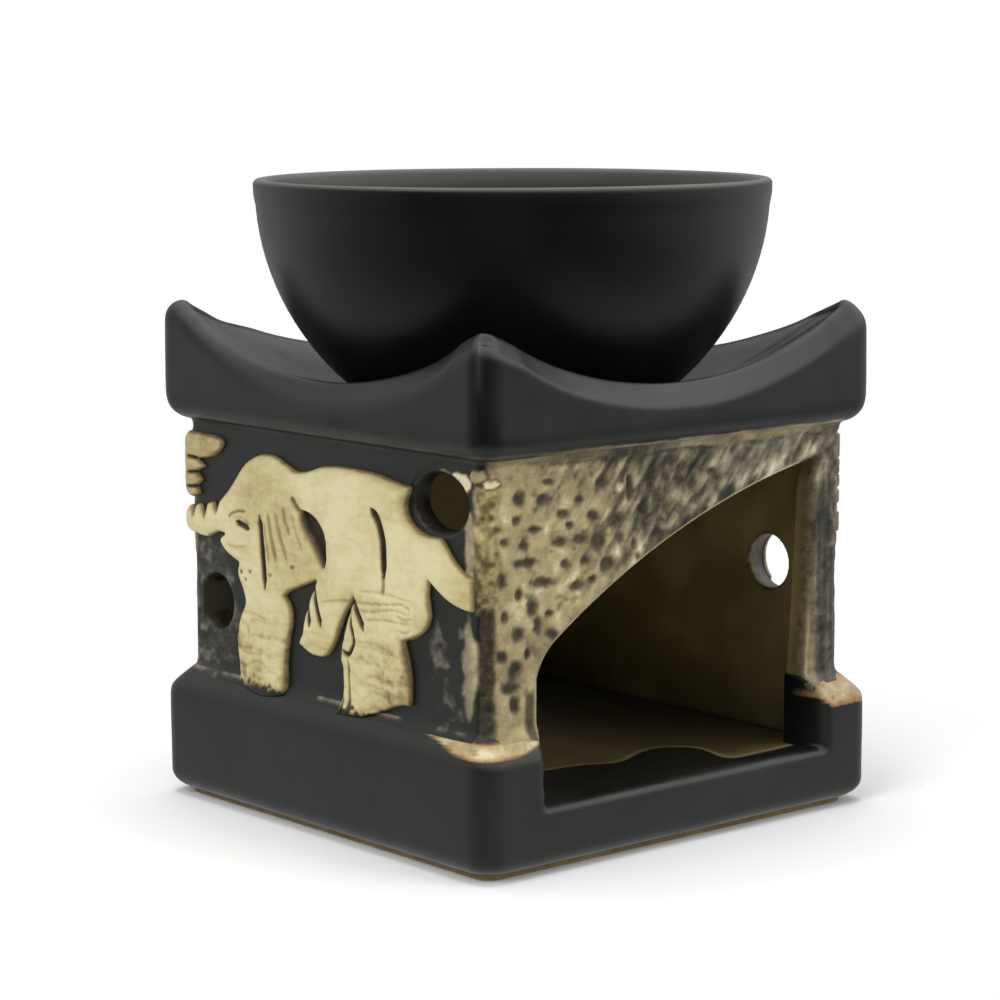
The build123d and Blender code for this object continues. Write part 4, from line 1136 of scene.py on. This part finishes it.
# Materials
class Nodes:
    """A short way to write a node tree. Inputs take other nodes' outputs, numbers and colours."""

    def __init__(self, owner, place="Object"):
        owner.use_nodes = True
        self.owner = owner
        self.tree = owner.node_tree
        self.place = self.add("TexCoord", place)

    def put(self, socket, value):
        if hasattr(value, "links"):
            self.tree.links.new(value, socket)
        else:
            socket.default_value = value + (1.0,) if socket.type == "RGBA" else value

    def add(self, kind, output, inputs=None, **settings):
        """Adds a node and gives back one of its outputs."""
        node = self.tree.nodes.new("ShaderNode" + kind)
        for key, value in settings.items():
            setattr(node, key, value)
        for key, value in (inputs or {}).items():
            self.put(node.inputs[key], value)
        return node.outputs[output]

    def noise(self, size, detail=3.0, rough=0.6, stretch=None):
        """Noise with features of that size in millimetres, from 0 to 1."""
        place = self.add("Mapping", 0, {"Vector": self.place, "Scale": stretch}) if stretch else self.place
        return self.add("TexNoise", "Fac", {"Vector": place, "Scale": 1000.0 / size, "Detail": detail,
                                            "Roughness": rough})

    def value(self, name):
        return self.add("Attribute", "Fac", attribute_name=name)

    def math(self, operation, *values):
        return self.add("Math", 0, dict(enumerate(values)), operation=operation)

    def vary(self, value, noise, amount):
        """A value moved up and down by a noise."""
        return self.math("MULTIPLY_ADD", self.math("SUBTRACT", noise, 0.5), amount, value)

    def span(self, value, low, high, to_low=0.0, to_high=1.0):
        inputs = {"Value": value, "From Min": low, "From Max": high, "To Min": to_low, "To Max": to_high}
        return self.add("MapRange", "Result", inputs, interpolation_type="SMOOTHSTEP")

    def mix(self, factor, a, b):
        return self.add("Mix", 2, {"Factor": factor, 6: a, 7: b}, data_type="RGBA")

    def bump(self, height, strength, distance, under=None):
        inputs = {"Strength": strength, "Distance": distance * MM, "Height": height}
        return self.add("Bump", "Normal", {**inputs, "Normal": under} if under else inputs)

    def dot(self, a, b):
        return self.add("VectorMath", "Value", {0: a, 1: b}, operation="DOT_PRODUCT")

    def light(self, kind, strength):
        return self.add(kind, 0, {"Color": (1.0, 1.0, 1.0), "Strength": strength})

    def choose(self, factor, under, over):
        return self.add("MixShader", 0, {0: factor, 1: under, 2: over})

    def finish(self, colour, roughness, **more):
        """Sets the shader's inputs, whose names have _ for a space, and gives back the material."""
        inputs = {"Base Color": colour, "Roughness": roughness, **more}
        for key, value in inputs.items():
            self.put(self.tree.nodes["Principled BSDF"].inputs[key.replace("_", " ")], value)
        return self.owner


def new_nodes(name):
    return Nodes(bpy.data.materials.new(name))


HEARTH = (0.25, 0.19, 0.072)
HEARTH_DARK = (0.17, 0.122, 0.042)
# light grey of the painted highlights on the roof and the plinth's crest
PAINTED_HIGHLIGHT_GREY = (0.085, 0.088, 0.078)
THIN_GLAZE = (0.42, 0.19, 0.065)
GLAZE_TINT = (0.93, 1.0, 0.93)

# Colours of the painted glazes from black to pale, each with the tone where it stands
SPOTTED_STOPS = [(0.0, (0.006, 0.006, 0.005)), (0.17, (0.042, 0.03, 0.013)), (0.38, (0.13, 0.1, 0.044)),
                 (0.6, (0.275, 0.22, 0.105)), (0.8, (0.41, 0.34, 0.175)), (1.0, (0.64, 0.56, 0.37))]
IVORY_STOPS = [(0.0, (0.01, 0.007, 0.005)), (0.17, (0.04, 0.026, 0.015)), (0.38, (0.14, 0.1, 0.045)),
               (0.62, (0.34, 0.265, 0.11)), (0.8, (0.5, 0.425, 0.205)), (1.0, (0.61, 0.55, 0.32))]


def glaze(n, sizes, shares, low, high, speckle, roughness):
    """Cloudy dark glaze with fine pale specks. Gives colour and roughness."""
    cloud = n.noise(sizes[0], 3, shares[0])
    colour = n.mix(n.span(cloud, 0.35, shares[1]), low, high)
    speck = n.noise(sizes[1], 2)
    colour = n.mix(n.span(speck, shares[2], shares[2] + 0.12, 0.0, shares[3]), colour, speckle)
    return colour, n.span(cloud, 0.3, 0.7, *roughness)


def ramp(n, factor, stops):
    node = n.tree.nodes.new("ShaderNodeValToRGB")
    elements = node.color_ramp.elements
    while len(elements) < len(stops):
        elements.new(0.5)
    for element, (place, colour) in zip(elements, stops):
        element.position = place
        element.color = colour + (1.0,)
    n.put(node.inputs["Fac"], factor)
    return node.outputs["Color"]


def painted_material(name, stops, grain_share):
    """Black glaze with paler glazes where the tone rises over 0."""
    n = new_nodes(name)
    black, rough = glaze(n, (14.0, 0.9), (0.55, 0.75, 0.68, 0.4), (0.004, 0.005, 0.0042),
                         (0.0078, 0.009, 0.0076), (0.022, 0.023, 0.019), (0.37, 0.46))
    tone = n.value("tone")
    grain = n.noise(0.55, 3, 0.65)
    tooth = n.noise(1.6, 4)
    streaks = n.noise(2.2, 4, 0.65, stretch=(0.35, 0.35, 1.7))
    shade = n.vary(n.vary(tone, grain, 0.22 * grain_share), tooth, 0.5 * grain_share)
    painted = ramp(n, n.vary(shade, streaks, 0.22), stops)
    saturation = n.math("MULTIPLY_ADD", n.value("grey"), -0.72, 1.0)
    dull = n.add("HueSaturation", "Color", {"Color": painted, "Saturation": saturation})
    painted = n.mix(n.math("MULTIPLY", n.value("warm"), 0.7), dull, THIN_GLAZE)
    there = n.span(n.vary(tone, tooth, 0.1), -0.02, 0.07)
    brown = n.mix(n.span(n.noise(16, 2, 0.5), 0.35, 0.65), HEARTH_DARK, HEARTH)
    colour = n.mix(n.value("inner"), n.mix(there, black, painted), brown)
    # painted highlights: light grey lines mixed in by the attribute
    colour = n.mix(n.math("MULTIPLY", n.value("painted_highlight"), 0.9), colour, PAINTED_HIGHLIGHT_GREY)
    bump = n.bump(streaks, 0.22, 0.09, n.bump(grain, 0.2, 0.05))
    bump = n.bump(n.noise(9, 2, 0.5), 0.35, 0.2, bump)
    return n.finish(colour, n.math("MULTIPLY_ADD", there, 0.06, rough), Normal=bump,
                    Specular_IOR_Level=0.42, Specular_Tint=GLAZE_TINT)


def bowl_material():
    n = new_nodes("bowl_glaze_satin")
    colour, rough = glaze(n, (20.0, 0.8), (0.5, 0.7, 0.7, 0.3), (0.0028, 0.0036, 0.0032),
                          (0.0045, 0.0055, 0.005), (0.018, 0.019, 0.017), (0.38, 0.44))
    # painted highlight and reflection colour on the rim and inside
    colour = n.mix(n.math("MULTIPLY", n.value("painted_highlight"), 0.9), colour, (0.06, 0.061, 0.053))
    orange_peel = n.bump(n.noise(1.8, 2, 0.5), 0.22, 0.05)
    bump = n.bump(n.noise(9, 2, 0.5), 0.22, 0.22, orange_peel)
    return n.finish(colour, rough, Normal=bump, Specular_IOR_Level=0.36, Specular_Tint=GLAZE_TINT)


def floor_material():
    n = new_nodes("hearth_floor_glaze")
    tone = n.noise(9, 4)
    clay = n.mix(n.span(tone, 0.35, 0.65), (0.064, 0.048, 0.018), (0.096, 0.073, 0.029))
    # painted shade on the floor, darker toward the front right
    clay = n.mix(n.value("dim"), clay, (0.022, 0.017, 0.007))
    clay = n.mix(n.span(n.noise(1), 0.6, 0.75, 0, 0.5), clay, (0.02, 0.014, 0.008))
    edge = n.vary(n.value("pool"), tone, 1.5)
    # a painted highlight: lighter brown on the bare floor along the dark pool's edge
    rim = n.mix(n.math("MULTIPLY", n.span(edge, -2.2, -0.3), 0.75), clay, (0.21, 0.165, 0.07))
    colour = n.mix(n.span(edge, -0.25, 0.35), rim, (0.01, 0.01, 0.009))
    rough = n.span(edge, -0.25, 0.35, 0.55, 0.28)
    return n.finish(colour, rough, Normal=n.bump(n.noise(2), 0.3, 0.12))


def clay_material():
    n = new_nodes("bare_clay_foot")
    colour = n.mix(n.span(n.noise(6, 4), 0.35, 0.65), (0.17, 0.13, 0.055), (0.24, 0.185, 0.085))
    colour = n.mix(n.span(n.noise(0.7, 3, 0.7), 0.58, 0.74, 0, 0.6), colour, (0.06, 0.045, 0.025))
    return n.finish(colour, 0.85, Normal=n.bump(n.noise(0.6, 3, 0.7), 0.5, 0.12))


def simple_material(name, low, high, size, roughness, bump_size, bump_height, **more):
    n = new_nodes(name)
    colour = n.mix(n.span(n.noise(size), 0.35, 0.65), low, high)
    rough = n.span(n.noise(size * 0.6), 0.35, 0.65, roughness * 0.85, roughness * 1.15)
    return n.finish(colour, rough, Normal=n.bump(n.noise(bump_size, 2), 0.35, bump_height), **more)


# Build
front_material = painted_material("spotted_cream_glaze", SPOTTED_STOPS, 1.0)
carving_material = painted_material("ivory_carving_glaze", IVORY_STOPS, 0.55)
black_material = painted_material("black_glaze_satin", SPOTTED_STOPS, 0.8)
aluminium = simple_material("pressed_aluminium", (0.78, 0.78, 0.79), (0.86, 0.86, 0.87), 6.0, 0.3, 2.0, 0.03,
                            Metallic=1.0)
candle_wax = simple_material("candle_wax", (0.86, 0.84, 0.78), (0.9, 0.885, 0.84), 8.0, 0.45, 3.0, 0.05,
                             Subsurface_Weight=0.35, Subsurface_Scale=0.002)
cotton = simple_material("cotton_wick", (0.8, 0.77, 0.69), (0.88, 0.86, 0.8), 1.0, 0.85, 0.3, 0.05)
tinned_steel = simple_material("tinned_steel", (0.55, 0.55, 0.54), (0.66, 0.66, 0.65), 3.0, 0.35, 1.0, 0.02,
                               Metallic=1.0)
for wall in ("front", *CARVED):
    make_wall(wall, front_material)
for wall in CARVED:
    for carving in ("elephant", "branch"):
        make_carving(wall, carving, carving_material)
make_plinth(black_material)
make_roof(black_material)
make_bowl(bowl_material())
make_floor_slab(floor_material())
make_tealight(aluminium, candle_wax, cotton)
for node, material in (("foot_rim", clay_material()), ("wick_tab", tinned_steel)):
    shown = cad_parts[node]
    shown.data.materials.clear()
    shown.data.materials.append(material)

# Camera, ground and light
CAMERA_PLACE = (-384.4, -444.8, 144.95)
CAMERA_TURN, CAMERA_PITCH, CAMERA_ROLL = -40.58, -8.3, -0.18
LENS, SENSOR_WIDTH = 109.1, 36.0
# The way from the burner to the photographer, level, and the way behind it
TO_CAMERA = (-0.651, -0.759, 0.0)
BEHIND = (0.651, 0.759, 0.0)
LAMP_TARGET = (0.0, 0.0, 0.05)
# Metres from the burner's middle over which the ground turns from lit to plain white
GROUND_FADE = (0.075, 0.140)


def make_camera():
    a, p, r = (math.radians(v) for v in (CAMERA_TURN, CAMERA_PITCH, CAMERA_ROLL))
    forward = Vector((-math.sin(a) * math.cos(p), math.cos(a) * math.cos(p), math.sin(p)))
    right = Vector((math.cos(a), math.sin(a), 0.0))
    up = right.cross(forward)
    side = right * math.cos(r) + up * math.sin(r)
    top = up * math.cos(r) - right * math.sin(r)
    data = bpy.data.cameras.new("camera")
    data.lens = LENS
    data.sensor_width = SENSOR_WIDTH
    data.clip_start, data.clip_end = 0.01, 20.0
    camera = bpy.data.objects.new("camera", data)
    matrix = Matrix((side, top, -forward)).transposed().to_4x4()
    matrix.translation = Vector(CAMERA_PLACE) * MM
    camera.matrix_world = matrix
    bpy.context.scene.collection.objects.link(camera)
    bpy.context.scene.camera = camera


def make_ground():
    """A white ground that keeps the burner's shadow, and is seen as plain white farther out."""
    mesh = bpy.data.meshes.new("ground")
    rings, count = (0.08, 0.2, 0.45), 96
    angles = [k * math.tau / count for k in range(count)]
    verts = [(0, 0, 0)] + [(r * math.cos(a), r * math.sin(a), 0) for r in rings for a in angles]
    faces = []
    for k in range(count):
        m = (k + 1) % count
        faces.append((0, 1 + k, 1 + m))
        faces += [(a + k, a + count + k, a + count + m, a + m) for a in (1, 1 + count)]
    mesh.from_pydata(verts, [], faces)
    n = new_nodes("ground_white")
    mesh.materials.append(n.finish((0.93, 0.93, 0.93), 0.9, Specular_IOR_Level=0.0))
    path = n.tree.nodes.new("ShaderNodeLightPath").outputs
    away = n.add("VectorMath", "Value", {0: n.place}, operation="LENGTH")
    plain = n.math("MULTIPLY", n.span(away, *GROUND_FADE), path["Is Camera Ray"])
    seen = n.choose(plain, n.tree.nodes["Principled BSDF"].outputs[0], n.light("Emission", 1.0))
    # what the glaze mirrors of the ground is dark toward the photographer, as the room was
    way = n.add("VectorMath", "Vector", {0: n.place}, operation="NORMALIZE")
    far_level = n.span(n.dot(way, TO_CAMERA), -0.45, 0.95, 0.64, 0.0)
    level = n.add("Mix", "Result", {"Factor": n.span(away, 0.11, 0.2), "A": 0.72, "B": far_level})
    final = n.choose(path["Is Glossy Ray"], seen, n.light("Emission", level))
    n.put(n.tree.nodes["Material Output"].inputs["Surface"], final)
    ground = bpy.data.objects.new("ground", mesh)
    bpy.context.scene.collection.objects.link(ground)


def make_world():
    world = bpy.data.worlds.new("studio")
    bpy.context.scene.world = world
    world.use_nodes = True
    world.node_tree.nodes.clear()
    n = Nodes(world, "Generated")
    path = n.tree.nodes.new("ShaderNodeLightPath").outputs
    # what the glaze mirrors: grey behind, pale at the sides, bright above, dark toward the photographer
    behind = n.span(n.dot(n.place, BEHIND), 0.3, 0.85, 0.8, 0.58)
    toward = n.span(n.dot(n.place, TO_CAMERA), -0.2, 0.95, 1.0, 0.02)
    above = n.span(n.dot(n.place, (0.16, -0.3, 0.94)), 0.28, 0.78, 0.0, 1.6)
    level = n.math("ADD", n.math("MULTIPLY", behind, toward), above)
    lit = n.choose(path["Is Glossy Ray"], n.light("Background", 0.5), n.light("Background", level))
    clear = n.math("MAXIMUM", path["Is Camera Ray"], path["Is Transmission Ray"])
    output = n.tree.nodes.new("ShaderNodeOutputWorld")
    n.put(output.inputs["Surface"], n.choose(clear, lit, n.light("Background", 1.0)))


def make_lamp(name, place, size, power):
    data = bpy.data.lights.new(name, "AREA")
    data.shape = "DISK"
    data.size = size
    data.energy = power
    lamp = bpy.data.objects.new(name, data)
    lamp.location = place
    lamp.rotation_mode = "QUATERNION"
    lamp.rotation_quaternion = (Vector(LAMP_TARGET) - lamp.location).to_track_quat("-Z", "Y")
    bpy.context.scene.collection.objects.link(lamp)
    lamp.visible_glossy = False


make_camera()
make_ground()
make_world()
make_lamp("lamp_left", (-0.95, -0.25, 0.75), 0.7, 6.5)
make_lamp("lamp_right", (0.45, -0.95, 0.6), 0.7, 3.5)
make_lamp("lamp_top", (0.0, 0.1, 1.1), 0.9, 6.0)
bpy.context.scene.view_settings.view_transform = "Standard"
